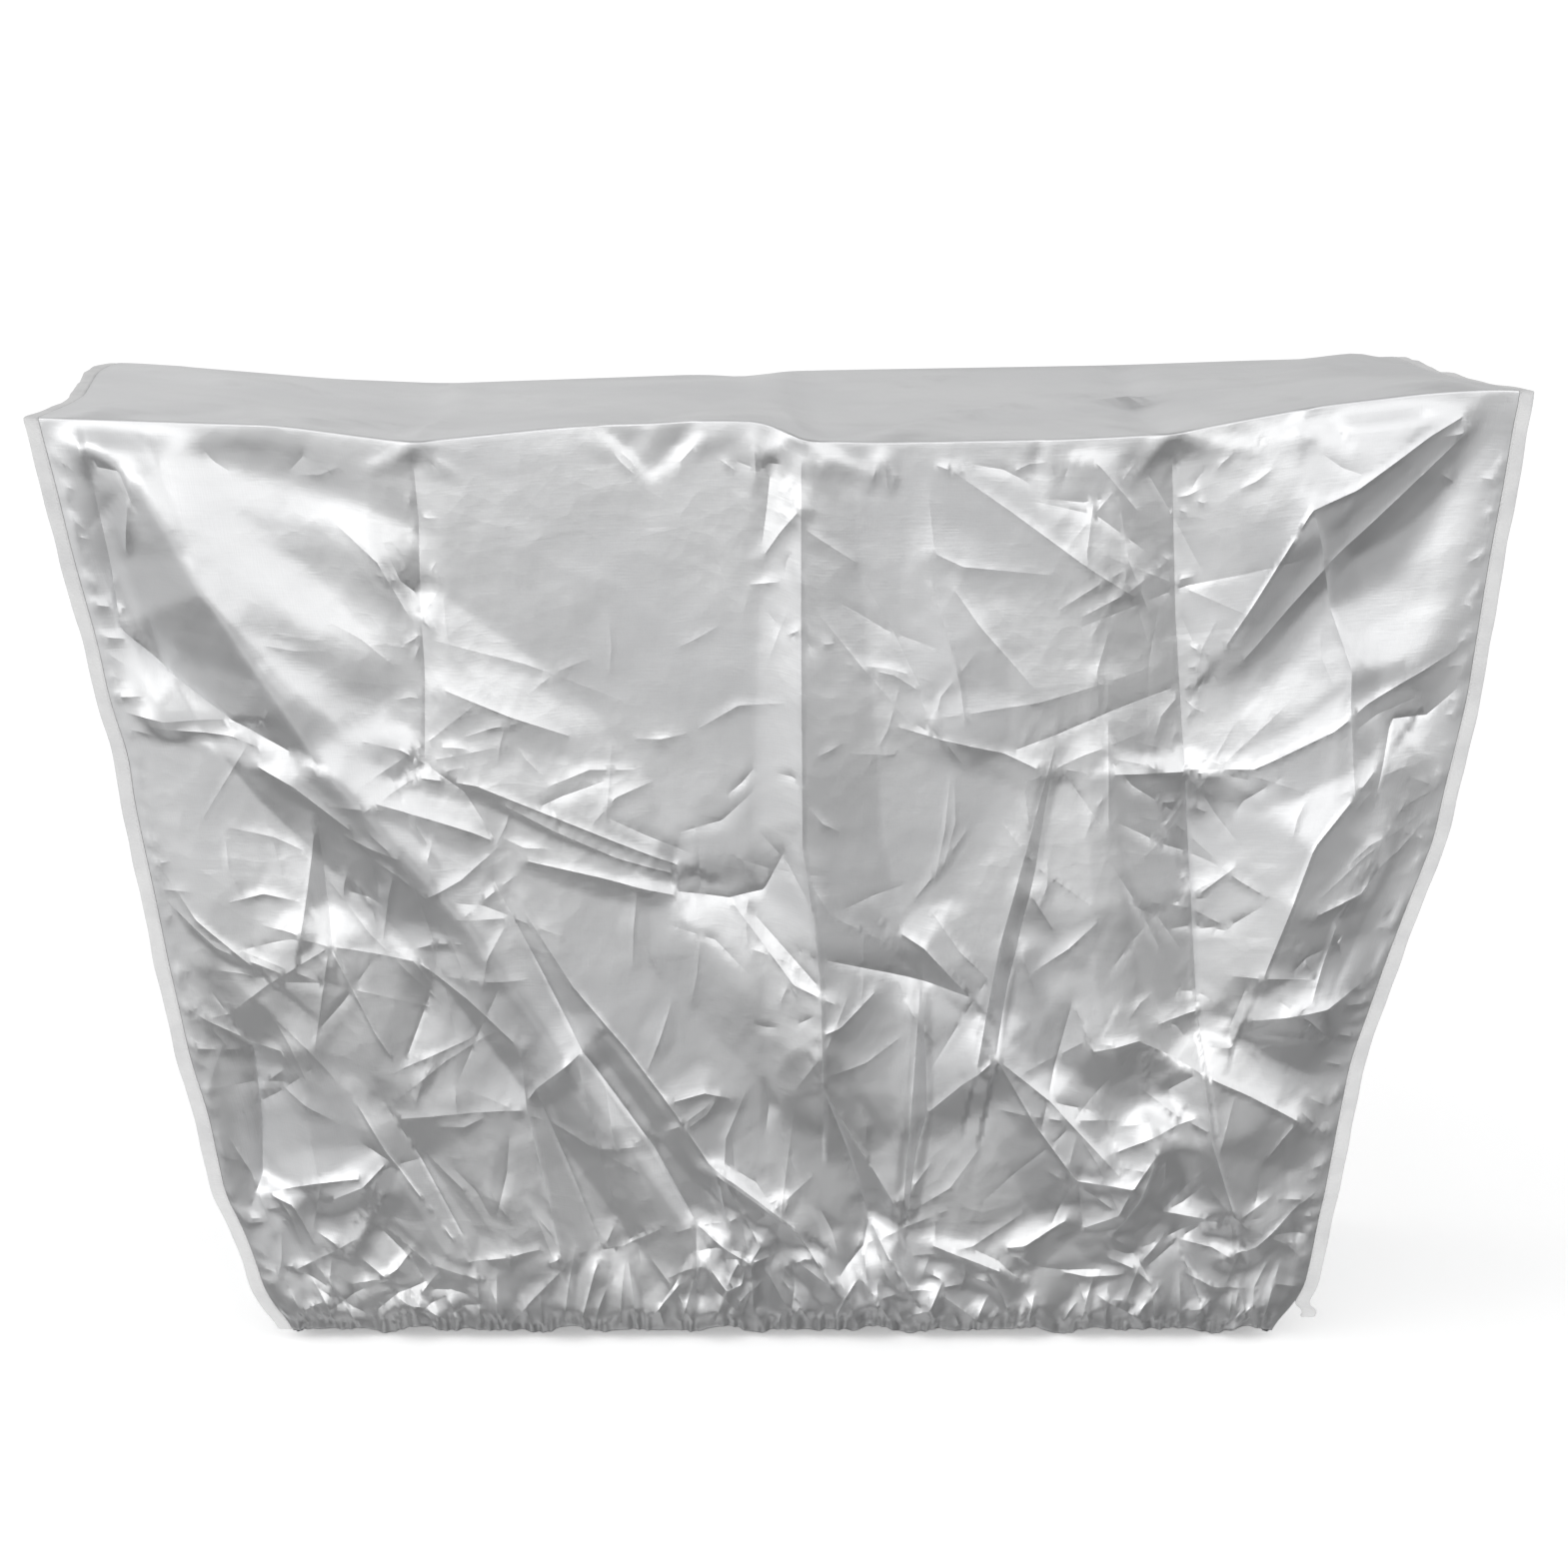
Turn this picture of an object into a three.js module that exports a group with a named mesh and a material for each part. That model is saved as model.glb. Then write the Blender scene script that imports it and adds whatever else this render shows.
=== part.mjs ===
// Fitted weather cover for the outdoor unit of an air conditioner, made of thin silver-coated cloth.
// One long cloth makes the front, the top and the back. A side panel closes each end, and each
// seam stands out as a narrow flange bound with pale tape. The open lower edge is a gathered hem.
// Millimetres, +Z up, the front faces -Y. The origin is the middle of the unit's top, on which the
// cover hangs. The tables below count heights from the front fold's left corner instead.

import * as THREE from 'three';

const HALF_DEPTH = 155;
const HEM_HALF_DEPTH = 120;
const HEM_HALF_WIDTH = 302;
const HEM_HEIGHT = -570;
const DRAW_IN_POWER = 3;
const FOLD_RADIUS = 10;
const TOP_SAG = 3;
const LEFT_CORNER_HEIGHT = 18;

const CLOTH_THICKNESS = 1.5;
const TAPE_THICKNESS = 2;
const TAPE_WIDTH = 9;
const SEAM_GAP = 0.3;
const TAPE_WAVE = 0.8;
const TAPE_WAVE_LENGTH = 46;
const TAPE_TAIL = 19;

const BODY_COLUMNS = 54;
const FACE_ROWS = 20;
const ROW_CROWDING = 1.2;
const CORNER_ROWS = 2;
const TOP_ROWS = 6;

const GATHER_HEIGHT = 75;
const GATHER_RISE = 6;
const HEM_SCALLOP = 4;
const SEAM_MARGIN = 0.012;
const SEAM_FADE = 26;
const FOLD_FADE = 18;

const SIDE_BULGE = 20;
const SIDE_PLEAT_RISE = 6;
const SIDE_DRAPE_RISE = 7;
const SIDE_SEAM_INSET = 0.6;

const SILVER = { color: 0xc9c9ca, roughness: 0.42, metalness: 0.75 };
const TAPE = { color: 0xe8e8e8, roughness: 0.9, metalness: 0 };

// Reach of the front's two side edges from the middle, by height.
const FRONT_EDGES = [
  { z: -573, left: 303, right: 301 },
  { z: -546, left: 321, right: 321 },
  { z: -523, left: 326, right: 325 },
  { z: -497, left: 334, right: 328 },
  { z: -480, left: 342, right: 331 },
  { z: -425, left: 350, right: 338 },
  { z: -390, left: 359, right: 343 },
  { z: -360, left: 364, right: 352 },
  { z: -325, left: 370, right: 362 },
  { z: -285, left: 376, right: 375 },
  { z: -250, left: 382, right: 387 },
  { z: -225, left: 386, right: 391 },
  { z: -200, left: 388, right: 396 },
  { z: -165, left: 398, right: 403 },
  { z: -130, left: 404, right: 407 },
  { z: -80, left: 416, right: 413 },
  { z: -40, left: 424, right: 419 },
  { z: 0, left: 433, right: 424 },
  { z: 15, left: 436, right: 427 },
];

const BACK_EDGES = [
  { z: -573, left: 303, right: 301 },
  { z: -540, left: 324, right: 318 },
  { z: -430, left: 356, right: 342 },
  { z: -300, left: 384, right: 366 },
  { z: -150, left: 412, right: 389 },
  { z: 0, left: 440, right: 404 },
  { z: 15, left: 443, right: 406 },
];

// How far the top's side edges swing out past a straight line from the front to the back corner.
const TOP_EDGE_SWING = [
  { share: 0, left: 0, right: 0 },
  { share: 0.22, left: -7, right: -8 },
  { share: 0.36, left: -8, right: -11 },
  { share: 0.56, left: -2, right: -11 },
  { share: 0.79, left: 5, right: -6 },
  { share: 0.92, left: 5, right: -2 },
  { share: 1, left: 0, right: 0 },
];

// Height of the two long folds between the faces and the top, by place across.
const FOLD_HEIGHTS = [
  { x: -450, front: 1, back: 6 },
  { x: -420, front: 0, back: 5 },
  { x: -293, front: -4, back: -5 },
  { x: -217, front: -14, back: -8 },
  { x: -126, front: -5, back: -5 },
  { x: -38, front: -1, back: -2 },
  { x: -4, front: -2, back: -4 },
  { x: 12, front: -13, back: 0 },
  { x: 58, front: -14, back: 1 },
  { x: 170, front: -12, back: 3 },
  { x: 225, front: -9, back: 4 },
  { x: 308, front: 7, back: 7 },
  { x: 375, front: 15, back: 9 },
  { x: 413, front: 17, back: 10 },
  { x: 440, front: 15, back: 10 },
];

// Main folds of the front, as paths across and up. A rise below zero is a trough. Left and right
// are how far each flank runs, seen along the path from its first point.
const FRONT_FOLDS = [
  { name: 'long ridge from the left corner', rise: 18, left: 75, right: 60,
    path: [[-420, -12], [-376, -40], [-317, -142], [-269, -219], [-190, -306], [-137, -382], [-60, -500]] },
  { name: 'short ridge from the left corner', rise: 9, left: 22, right: 40,
    path: [[-410, -12], [-368, -30], [-300, -48], [-235, -72]] },
  { name: 'trough between the two ridges', rise: -10, left: 35, right: 35,
    path: [[-340, -70], [-285, -110], [-215, -165]] },
  { name: 'hollow by the left seam', rise: -12, left: 40, right: 32,
    path: [[-385, -60], [-368, -130], [-330, -185]] },
  { name: 'first packing crease', rise: 6, left: 26, right: 30,
    path: [[-217, -12], [-214, -101], [-212, -205]] },
  { name: 'flat of the middle left', rise: 10, left: 60, right: 34,
    path: [[-198, -104], [-152, -141], [-98, -195], [-60, -235]] },
  { name: 'second packing crease', rise: 9, left: 48, right: 60,
    path: [[10, -14], [11, -255], [22, -342], [24, -407]] },
  { name: 'third packing crease', rise: -9, left: 55, right: 60,
    path: [[226, -12], [231, -116], [239, -212], [250, -358], [257, -399]] },
  { name: 'pleat of the middle left', rise: 12, left: 20, right: 26,
    path: [[-182, -218], [-122, -243], [-62, -270]] },
  { name: 'fold under the pleat', rise: -9, left: 24, right: 40,
    path: [[-110, -290], [-65, -284], [-33, -292], [1, -257]] },
  { name: 'dark strip of the lower left', rise: -13, left: 22, right: 26,
    path: [[-165, -285], [-137, -335], [-108, -383], [-60, -450]] },
  { name: 'ridge right of the strip', rise: 14, left: 24, right: 46,
    path: [[-140, -296], [-94, -383], [-46, -456], [9, -505]] },
  { name: 'lower left pleat', rise: -11, left: 16, right: 20,
    path: [[-155, -390], [-142, -455], [-124, -518]] },
  { name: 'ridge of the lower left pleat', rise: 10, left: 18, right: 30,
    path: [[-122, -385], [-112, -455], [-90, -518]] },
  { name: 'middle valley', rise: -12, left: 26, right: 30,
    path: [[24, -407], [40, -450], [56, -500]] },
  { name: 'narrow wedge', rise: -14, left: 16, right: 16,
    path: [[160, -195], [146, -268], [132, -330], [120, -392]] },
  { name: 'ridge right of the wedge', rise: 12, left: 16, right: 70,
    path: [[166, -195], [158, -272], [146, -342], [134, -392]] },
  { name: 'lower middle wedge', rise: -11, left: 18, right: 14,
    path: [[84, -346], [82, -420], [74, -488]] },
  { name: 'slanting ridge of the middle', rise: 9, left: 22, right: 30,
    path: [[128, -387], [100, -410], [90, -430]] },
  { name: 'lower right ridge', rise: 13, left: 26, right: 26,
    path: [[128, -387], [153, -431], [179, -467], [213, -471], [228, -446]] },
  { name: 'apex of the lower right', rise: 13, left: 30, right: 26,
    path: [[174, -352], [187, -383], [214, -376], [257, -399], [312, -427]] },
  { name: 'hollow of the lower right', rise: -13, left: 30, right: 34,
    path: [[262, -425], [275, -470], [292, -500]] },
  { name: 'hem fold of the lower right', rise: 10, left: 20, right: 18,
    path: [[330, -470], [300, -492], [270, -515]] },
  { name: 'bright plane of the upper right', rise: 18, left: 26, right: 75,
    path: [[398, 0], [333, -42], [300, -62], [282, -94], [257, -140]] },
  { name: 'valley of the upper right', rise: -13, left: 34, right: 26,
    path: [[385, -45], [352, -96], [318, -114], [287, -156]] },
  { name: 'slanting ridge of the right', rise: 13, left: 34, right: 30,
    path: [[239, -210], [278, -208], [324, -185], [395, -136]] },
  { name: 'dark edge of the right', rise: -14, left: 30, right: 30,
    path: [[372, -180], [345, -230], [312, -262], [281, -328]] },
  { name: 'right seam ridge', rise: 12, left: 26, right: 32,
    path: [[372, -222], [330, -300], [322, -350], [300, -392]] },
  { name: 'star of the left', rise: 13, left: 26, right: 30,
    path: [[-279, -241], [-272, -316], [-240, -380], [-232, -395]] },
  { name: 'left seam ridge', rise: 11, left: 18, right: 26,
    path: [[-352, -358], [-323, -381], [-300, -386]] },
  { name: 'hollow under the left seam ridge', rise: -13, left: 26, right: 28,
    path: [[-338, -400], [-325, -430], [-308, -470]] },
  { name: 'strip of the lower left corner', rise: 11, left: 16, right: 18,
    path: [[-264, -410], [-242, -449], [-202, -510]] },
  { name: 'fold of the lower left corner', rise: 11, left: 18, right: 22,
    path: [[-317, -478], [-288, -470], [-258, -466]] },
];

const BACK_FOLDS = [
  { name: 'ridge from the upper left', rise: 15, left: 60, right: 60,
    path: [[-420, -14], [-330, -150], [-220, -300], [-140, -420]] },
  { name: 'ridge from the upper right', rise: 15, left: 60, right: 60,
    path: [[385, -14], [310, -130], [230, -290], [160, -410]] },
  { name: 'first packing crease', rise: 8, left: 40, right: 40,
    path: [[-215, -12], [-213, -280]] },
  { name: 'second packing crease', rise: 8, left: 50, right: 50,
    path: [[8, -12], [12, -390]] },
  { name: 'third packing crease', rise: -9, left: 45, right: 45,
    path: [[225, -12], [228, -260]] },
  { name: 'lower middle hollow', rise: -12, left: 40, right: 40,
    path: [[-60, -360], [-20, -440], [30, -500]] },
  { name: 'lower left pleat', rise: 12, left: 26, right: 26,
    path: [[-250, -380], [-230, -500]] },
  { name: 'lower right pleat', rise: 12, left: 26, right: 26,
    path: [[250, -390], [240, -500]] },
];

// Waves of the gathers: how many there are across a face, their share of the rise and their start.
const GATHER_WAVES = [
  { count: 13, share: 0.45, start: 0.4 },
  { count: 19, share: 0.35, start: 2.1 },
  { count: 7, share: 0.3, start: 4.4 },
];

const lerp = (a, b, share) => a + (b - a) * share;
const clamp01 = (value) => Math.min(1, Math.max(0, value));
const ease = (share) => clamp01(share) ** 2 * (3 - 2 * clamp01(share));

// Value of one column of a table, at a place along its key column.
function look(table, key, at, column) {
  const next = table.findIndex((row) => row[key] >= at);
  if (next === 0) return table[0][column];
  if (next < 0) return table[table.length - 1][column];
  const low = table[next - 1];
  const high = table[next];
  return lerp(low[column], high[column], (at - low[key]) / (high[key] - low[key]));
}

// Rise of one fold at a place on a face: a soft tent along the fold's path.
function foldRise(fold, x, z) {
  let nearest = Infinity;
  let side = 1;
  for (let i = 1; i < fold.path.length; i += 1) {
    const [ax, az] = fold.path[i - 1];
    const [bx, bz] = fold.path[i];
    const length = Math.hypot(bx - ax, bz - az);
    const along = clamp01(((x - ax) * (bx - ax) + (z - az) * (bz - az)) / length ** 2);
    const offX = x - lerp(ax, bx, along);
    const offZ = z - lerp(az, bz, along);
    const distance = Math.hypot(offX, offZ);
    if (distance < nearest) {
      nearest = distance;
      side = (bx - ax) * offZ - (bz - az) * offX;
    }
  }
  const flank = side > 0 ? fold.left : fold.right;
  return fold.rise * Math.max(0, 1 - nearest / flank);
}

function gatherWave(share) {
  let wave = 0;
  for (const row of GATHER_WAVES) {
    wave += row.share * Math.sin(2 * Math.PI * row.count * share + row.start);
  }
  return wave;
}

// A face is the front or the back: which way it looks, and its own tables.
const FRONT = { sign: -1, edges: FRONT_EDGES, folds: FRONT_FOLDS, height: 'front', phase: 0 };
const BACK = { sign: 1, edges: BACK_EDGES, folds: BACK_FOLDS, height: 'back', phase: 0.37 };

const hemHeight = (face, across) => HEM_HEIGHT + HEM_SCALLOP * gatherWave(across / 2 + face.phase);

function foldHeight(face, across) {
  const reach = across < 0 ? look(face.edges, 'z', 0, 'left') : look(face.edges, 'z', 0, 'right');
  return look(FOLD_HEIGHTS, 'x', across * reach, face.height);
}

// Place across a face: the two side edges at their own heights, and an even share between them.
function placeAcross(face, across, share) {
  const leftZ = lerp(hemHeight(face, -1), foldHeight(face, -1), share);
  const rightZ = lerp(hemHeight(face, 1), foldHeight(face, 1), share);
  const left = look(face.edges, 'z', leftZ, 'left');
  const right = look(face.edges, 'z', rightZ, 'right');
  return lerp(-left, right, (across + 1) / 2);
}

// Point of a face. Across runs from -1 to 1, and share from the hem, 0, to the corner's start, 1.
function facePoint(face, across, share) {
  const x = placeAcross(face, across, share);
  const foot = hemHeight(face, across);
  const head = foldHeight(face, across) - FOLD_RADIUS;
  const z = lerp(foot, head, share);
  const drawnIn = (HALF_DEPTH - HEM_HALF_DEPTH) * (1 - share) ** DRAW_IN_POWER;
  const edge = Math.max(0, 1 - SEAM_MARGIN - Math.abs(across)) * HEM_HALF_WIDTH;
  const fade = ease(edge / SEAM_FADE) * ease((head - z) / FOLD_FADE);
  let rise = 0;
  for (const fold of face.folds) {
    rise += foldRise(fold, x, z);
  }
  const gather = GATHER_RISE * gatherWave(across / 2 + face.phase) * ease(1 - (z - foot) / GATHER_HEIGHT);
  return new THREE.Vector3(x, face.sign * (HALF_DEPTH - drawnIn + fade * (rise + gather)), z);
}

// Point of the rounded corner between a face and the top, share 0 at the face and 1 at the top.
function cornerPoint(face, across, share) {
  const turn = (Math.PI / 2) * share;
  const x = placeAcross(face, across, 1);
  const y = face.sign * (HALF_DEPTH - FOLD_RADIUS + FOLD_RADIUS * Math.cos(turn));
  const z = foldHeight(face, across) - FOLD_RADIUS + FOLD_RADIUS * Math.sin(turn);
  return new THREE.Vector3(x, y, z);
}

// Point of the top, share 0 at the front fold and 1 at the back fold.
function topPoint(across, share) {
  const from = cornerPoint(FRONT, across, 1);
  const to = cornerPoint(BACK, across, 1);
  const swing = look(TOP_EDGE_SWING, 'share', share, across < 0 ? 'left' : 'right');
  const point = from.lerp(to, share);
  point.x += across * swing;
  point.z -= TOP_SAG * Math.sin(Math.PI * share) * (1 - across ** 2);
  return point;
}

// Stations of the long cloth from the front hem, over the top, to the back hem. The rows of the
// faces stand closer together near the hem, where the gathers are.
const rowShare = (i) => (i / FACE_ROWS) ** ROW_CROWDING;
const STATIONS = [];
for (let i = 0; i < FACE_ROWS; i += 1) {
  STATIONS.push((across) => facePoint(FRONT, across, rowShare(i)));
}
for (let i = 0; i < CORNER_ROWS; i += 1) {
  STATIONS.push((across) => cornerPoint(FRONT, across, i / CORNER_ROWS));
}
for (let i = 0; i <= TOP_ROWS; i += 1) {
  STATIONS.push((across) => topPoint(across, i / TOP_ROWS));
}
for (let i = CORNER_ROWS - 1; i >= 0; i -= 1) {
  STATIONS.push((across) => cornerPoint(BACK, across, i / CORNER_ROWS));
}
for (let i = FACE_ROWS - 1; i >= 0; i -= 1) {
  STATIONS.push((across) => facePoint(BACK, across, rowShare(i)));
}

// Outward normals of a grid of points, from the differences between neighbours.
function gridNormals(rows) {
  const last = rows.length - 1;
  const end = rows[0].length - 1;
  return rows.map((row, i) => row.map((point, j) => {
    const up = rows[Math.min(i + 1, last)][j].clone().sub(rows[Math.max(i - 1, 0)][j]);
    const over = row[Math.min(j + 1, end)].clone().sub(row[Math.max(j - 1, 0)]);
    return over.cross(up).normalize();
  }));
}

// Closed sheet between a grid of outer points and a grid of inner points.
function sheetGeometry(outer, inner) {
  const rows = outer.length;
  const columns = outer[0].length;
  const positions = [...outer.flat(), ...inner.flat()].flatMap((point) => point.toArray());
  const at = (i, j, skin) => skin * rows * columns + i * columns + j;
  const faces = [];
  const quad = (a, b, c, d) => faces.push(a, b, c, a, c, d);
  for (let i = 0; i < rows - 1; i += 1) {
    for (let j = 0; j < columns - 1; j += 1) {
      quad(at(i, j, 0), at(i, j + 1, 0), at(i + 1, j + 1, 0), at(i + 1, j, 0));
      quad(at(i, j, 1), at(i + 1, j, 1), at(i + 1, j + 1, 1), at(i, j + 1, 1));
    }
  }
  for (let j = 0; j < columns - 1; j += 1) {
    quad(at(0, j, 0), at(0, j, 1), at(0, j + 1, 1), at(0, j + 1, 0));
    quad(at(rows - 1, j, 0), at(rows - 1, j + 1, 0), at(rows - 1, j + 1, 1), at(rows - 1, j, 1));
  }
  for (let i = 0; i < rows - 1; i += 1) {
    quad(at(i, 0, 0), at(i + 1, 0, 0), at(i + 1, 0, 1), at(i, 0, 1));
    quad(at(i, columns - 1, 0), at(i, columns - 1, 1), at(i + 1, columns - 1, 1), at(i + 1, columns - 1, 0));
  }
  const geometry = new THREE.BufferGeometry();
  geometry.setAttribute('position', new THREE.Float32BufferAttribute(positions, 3));
  geometry.setIndex(faces);
  geometry.computeVertexNormals();
  return geometry;
}

const inward = (rows, normals, depth) => rows.map((row, i) => (
  row.map((point, j) => point.clone().addScaledVector(normals[i][j], -depth))
));

function clothMesh(name, geometry, finish) {
  const mesh = new THREE.Mesh(geometry, new THREE.MeshStandardMaterial(finish));
  mesh.name = name;
  return mesh;
}

function makeBody() {
  const columns = [-1];
  for (let j = 0; j <= BODY_COLUMNS; j += 1) {
    columns.push((1 - SEAM_MARGIN) * ((2 * j) / BODY_COLUMNS - 1));
  }
  columns.push(1);
  const rows = STATIONS.map((station) => columns.map(station));
  const inner = inward(rows, gridNormals(rows), CLOTH_THICKNESS);
  return clothMesh('body_cloth', sheetGeometry(rows, inner), SILVER);
}

// The seam at one end of the long cloth: its points and the way out of the cloth at each.
function seamPath(end) {
  const points = STATIONS.map((station) => station(end));
  const last = points.length - 1;
  const outs = points.map((point, i) => {
    const along = points[Math.min(i + 1, last)].clone().sub(points[Math.max(i - 1, 0)]);
    return new THREE.Vector3(0, -along.z, along.y).normalize();
  });
  return { points, outs };
}

// The tape folded round the seam's flange, standing out sideways from the long cloth's edge. The
// right one ends in a short loose tail at the front hem.
function makeBinding(name, end) {
  const { points, outs } = seamPath(end);
  const top = [];
  const under = [];
  let run = 0;
  points.forEach((point, i) => {
    run += i > 0 ? point.distanceTo(points[i - 1]) : 0;
    const wave = TAPE_WAVE * Math.sin((2 * Math.PI * run) / TAPE_WAVE_LENGTH);
    const near = point.clone().setX(point.x + end * SEAM_GAP);
    const tail = end > 0 && i === 0 ? TAPE_TAIL : 0;
    const far = point.clone().setX(point.x + end * (SEAM_GAP + TAPE_WIDTH + wave + tail));
    const pair = end > 0 ? [near, far] : [far, near];
    top.push(pair);
    under.push(pair.map((corner) => corner.clone().addScaledVector(outs[i], -TAPE_THICKNESS)));
  });
  return clothMesh(name, sheetGeometry(top, under), TAPE);
}

// A side panel is stretched between its four edges, which run just inside the long cloth.
function makeSidePanel(name, end) {
  const { points, outs } = seamPath(end);
  const depth = CLOTH_THICKNESS + SEAM_GAP;
  const edge = points.map((point, i) => {
    const set = point.clone().addScaledVector(outs[i], -depth);
    set.x -= end * SIDE_SEAM_INSET;
    return set;
  });
  const across = TOP_ROWS + CORNER_ROWS;
  const up = (edge.length - 1 - across) / 2;
  const front = edge.slice(0, up + 1);
  const top = edge.slice(up, up + across + 1);
  const back = edge.slice(up + across).reverse();
  const rows = [];
  for (let i = 0; i <= up; i += 1) {
    const height = i / up;
    const row = [];
    for (let j = 0; j <= across; j += 1) {
      const share = j / across;
      const between = front[i].clone().lerp(back[i], share);
      const straightTop = top[0].clone().lerp(top[across], share);
      between.add(top[j].clone().sub(straightTop).multiplyScalar(height));
      const inside = Math.sin(Math.PI * share);
      const belly = SIDE_BULGE * inside * Math.sin(Math.PI * height) ** 0.8;
      const pleat = SIDE_PLEAT_RISE * inside * Math.sin(5.2 * Math.PI * share + 2 * height) * (1 - height);
      const slant = Math.sin(2 * Math.PI * (share + 1.3 * height));
      const drape = SIDE_DRAPE_RISE * inside * slant * ease(1.6 * (1 - height));
      between.x += end * (belly + pleat + drape);
      row.push(between);
    }
    rows.push(end > 0 ? row : row.reverse());
  }
  const normals = gridNormals(rows);
  const inner = inward(rows, normals.map((row) => row.map((n) => new THREE.Vector3(Math.sign(n.x), 0, 0))),
    CLOTH_THICKNESS);
  return clothMesh(name, sheetGeometry(rows, inner), SILVER);
}

const cover = new THREE.Group();
cover.position.z = LEFT_CORNER_HEIGHT;
cover.add(makeBody());
cover.add(makeSidePanel('side_panel_left', -1));
cover.add(makeSidePanel('side_panel_right', 1));
cover.add(makeBinding('binding_left', -1));
cover.add(makeBinding('binding_right', 1));

export default cover;
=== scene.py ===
import math

import bpy
import numpy as np
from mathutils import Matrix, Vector


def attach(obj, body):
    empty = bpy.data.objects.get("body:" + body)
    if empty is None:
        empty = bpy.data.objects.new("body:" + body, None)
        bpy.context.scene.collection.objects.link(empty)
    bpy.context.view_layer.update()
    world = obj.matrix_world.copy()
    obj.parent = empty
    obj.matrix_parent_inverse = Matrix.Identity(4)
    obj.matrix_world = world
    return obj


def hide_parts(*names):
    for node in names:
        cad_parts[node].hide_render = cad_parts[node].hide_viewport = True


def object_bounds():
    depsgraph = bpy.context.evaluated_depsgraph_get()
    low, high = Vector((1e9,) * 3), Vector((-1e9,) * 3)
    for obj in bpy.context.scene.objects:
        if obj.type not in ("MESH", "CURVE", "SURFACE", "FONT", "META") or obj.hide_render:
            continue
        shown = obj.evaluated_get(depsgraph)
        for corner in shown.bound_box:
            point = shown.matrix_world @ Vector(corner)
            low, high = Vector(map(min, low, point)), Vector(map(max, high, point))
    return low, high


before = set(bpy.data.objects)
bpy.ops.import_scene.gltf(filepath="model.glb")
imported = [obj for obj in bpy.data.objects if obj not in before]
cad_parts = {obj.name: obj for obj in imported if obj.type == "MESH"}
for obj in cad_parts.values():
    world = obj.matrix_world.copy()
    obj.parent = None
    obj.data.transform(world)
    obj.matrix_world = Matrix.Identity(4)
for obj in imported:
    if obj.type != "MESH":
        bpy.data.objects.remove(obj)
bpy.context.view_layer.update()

# Body cloth: one long piece of thin silver-coated cloth makes the front, the top and the back. It hangs
# in folds from two soft upper edges, keeps three upright packing creases, and is gathered at the hem.
# Sizes are millimetres across (x) and up (z), with z counted from the front fold's left corner.

corner_height = 18
half_depth = 155
hem_half_depth = 120
hem_height = -570
hem_half_width = 302
fold_radius = 1.4
hem_wave_height = 4
gather_height = 75
elastic_height = 12
top_sag = 3
seam_fade = 26
fold_fade = 16

front_edge = {
    "z": [-573, -546, -523, -497, -480, -425, -390, -360, -325, -285, -250, -225, -200, -165, -130, -80,
          -40, 0, 15],
    "left": [303, 321, 326, 334, 342, 350, 359, 364, 370, 376, 382, 386, 388, 398, 404, 416, 424, 433, 436],
    "right": [301, 321, 325, 328, 331, 338, 343, 352, 362, 375, 387, 391, 396, 403, 407, 413, 419, 424, 427],
}
back_edge = {
    "z": [-573, -540, -430, -300, -150, 0, 15],
    "left": [303, 324, 356, 384, 412, 440, 443],
    "right": [301, 318, 342, 366, 389, 404, 406],
}
upper_fold = {
    "x": [-450, -420, -293, -217, -126, -38, -4, 12, 58, 170, 225, 308, 375, 413, 440],
    "front": [1, 0, -4, -14, -5, -1, -2, -13, -14, -12, -9, 7, 15, 17, 15],
    "back": [6, 5, -5, -8, -5, -2, -4, 0, 1, 3, 4, 7, 9, 10, 10],
}
top_swing = {
    "share": [0, 0.22, 0.36, 0.56, 0.79, 0.92, 1],
    "left": [0, -7, -8, -2, 5, 5, 0],
    "right": [0, -8, -11, -11, -6, -2, 0],
}
gather_wave = {"count": [13, 19, 7], "share": [0.45, 0.35, 0.3], "start": [0.4, 2.1, 4.4]}


def ease(share):
    share = np.clip(share, 0, 1)
    return share * share * (3 - 2 * share)


def look(at, table, key, column, spread=0.0):
    """A table's column at a place along its key column, softened over a spread."""
    steps = (-1, -0.5, 0, 0.5, 1) if spread else (0,)
    return sum(np.interp(at + spread * s, table[key], table[column]) for s in steps) / len(steps)


def wave(share):
    rows = zip(gather_wave["count"], gather_wave["share"], gather_wave["start"])
    return sum(part * np.sin(2 * math.pi * count * share + start) for count, part, start in rows)


# the steepest flanks of small creases on the open face, of other small ones and of large ones
calm_slope, small_slope, large_slope = 0.12, 0.22, 0.34
crumpled_below = -465


def crease(rise, left, right, path, crest=0.5, grow=(1, 1), soft=(0.3, 0.3)):
    """A fold along a path. Left and right are its flanks' widths as one goes along it, crest its roundness,
    grow its share along it, and soft how much each flank eases off: 0 is a flat plane."""
    widest = max(left, right)
    calm = widest < 40 and min(z for _, z in path) > crumpled_below
    slope = calm_slope if calm else small_slope if widest < 30 else large_slope
    steepest = min(0.5 * min(left, right), slope * widest) + 0.5
    pinch = math.copysign(min(0.8, 0.13 * abs(rise) + 0.16), rise)
    rise = max(-steepest, min(steepest, rise))
    return {"rise": rise, "pinch": pinch, "left": left, "right": right, "path": np.array(path, float),
            "crest": crest, "grow": grow, "soft": soft}


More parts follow.
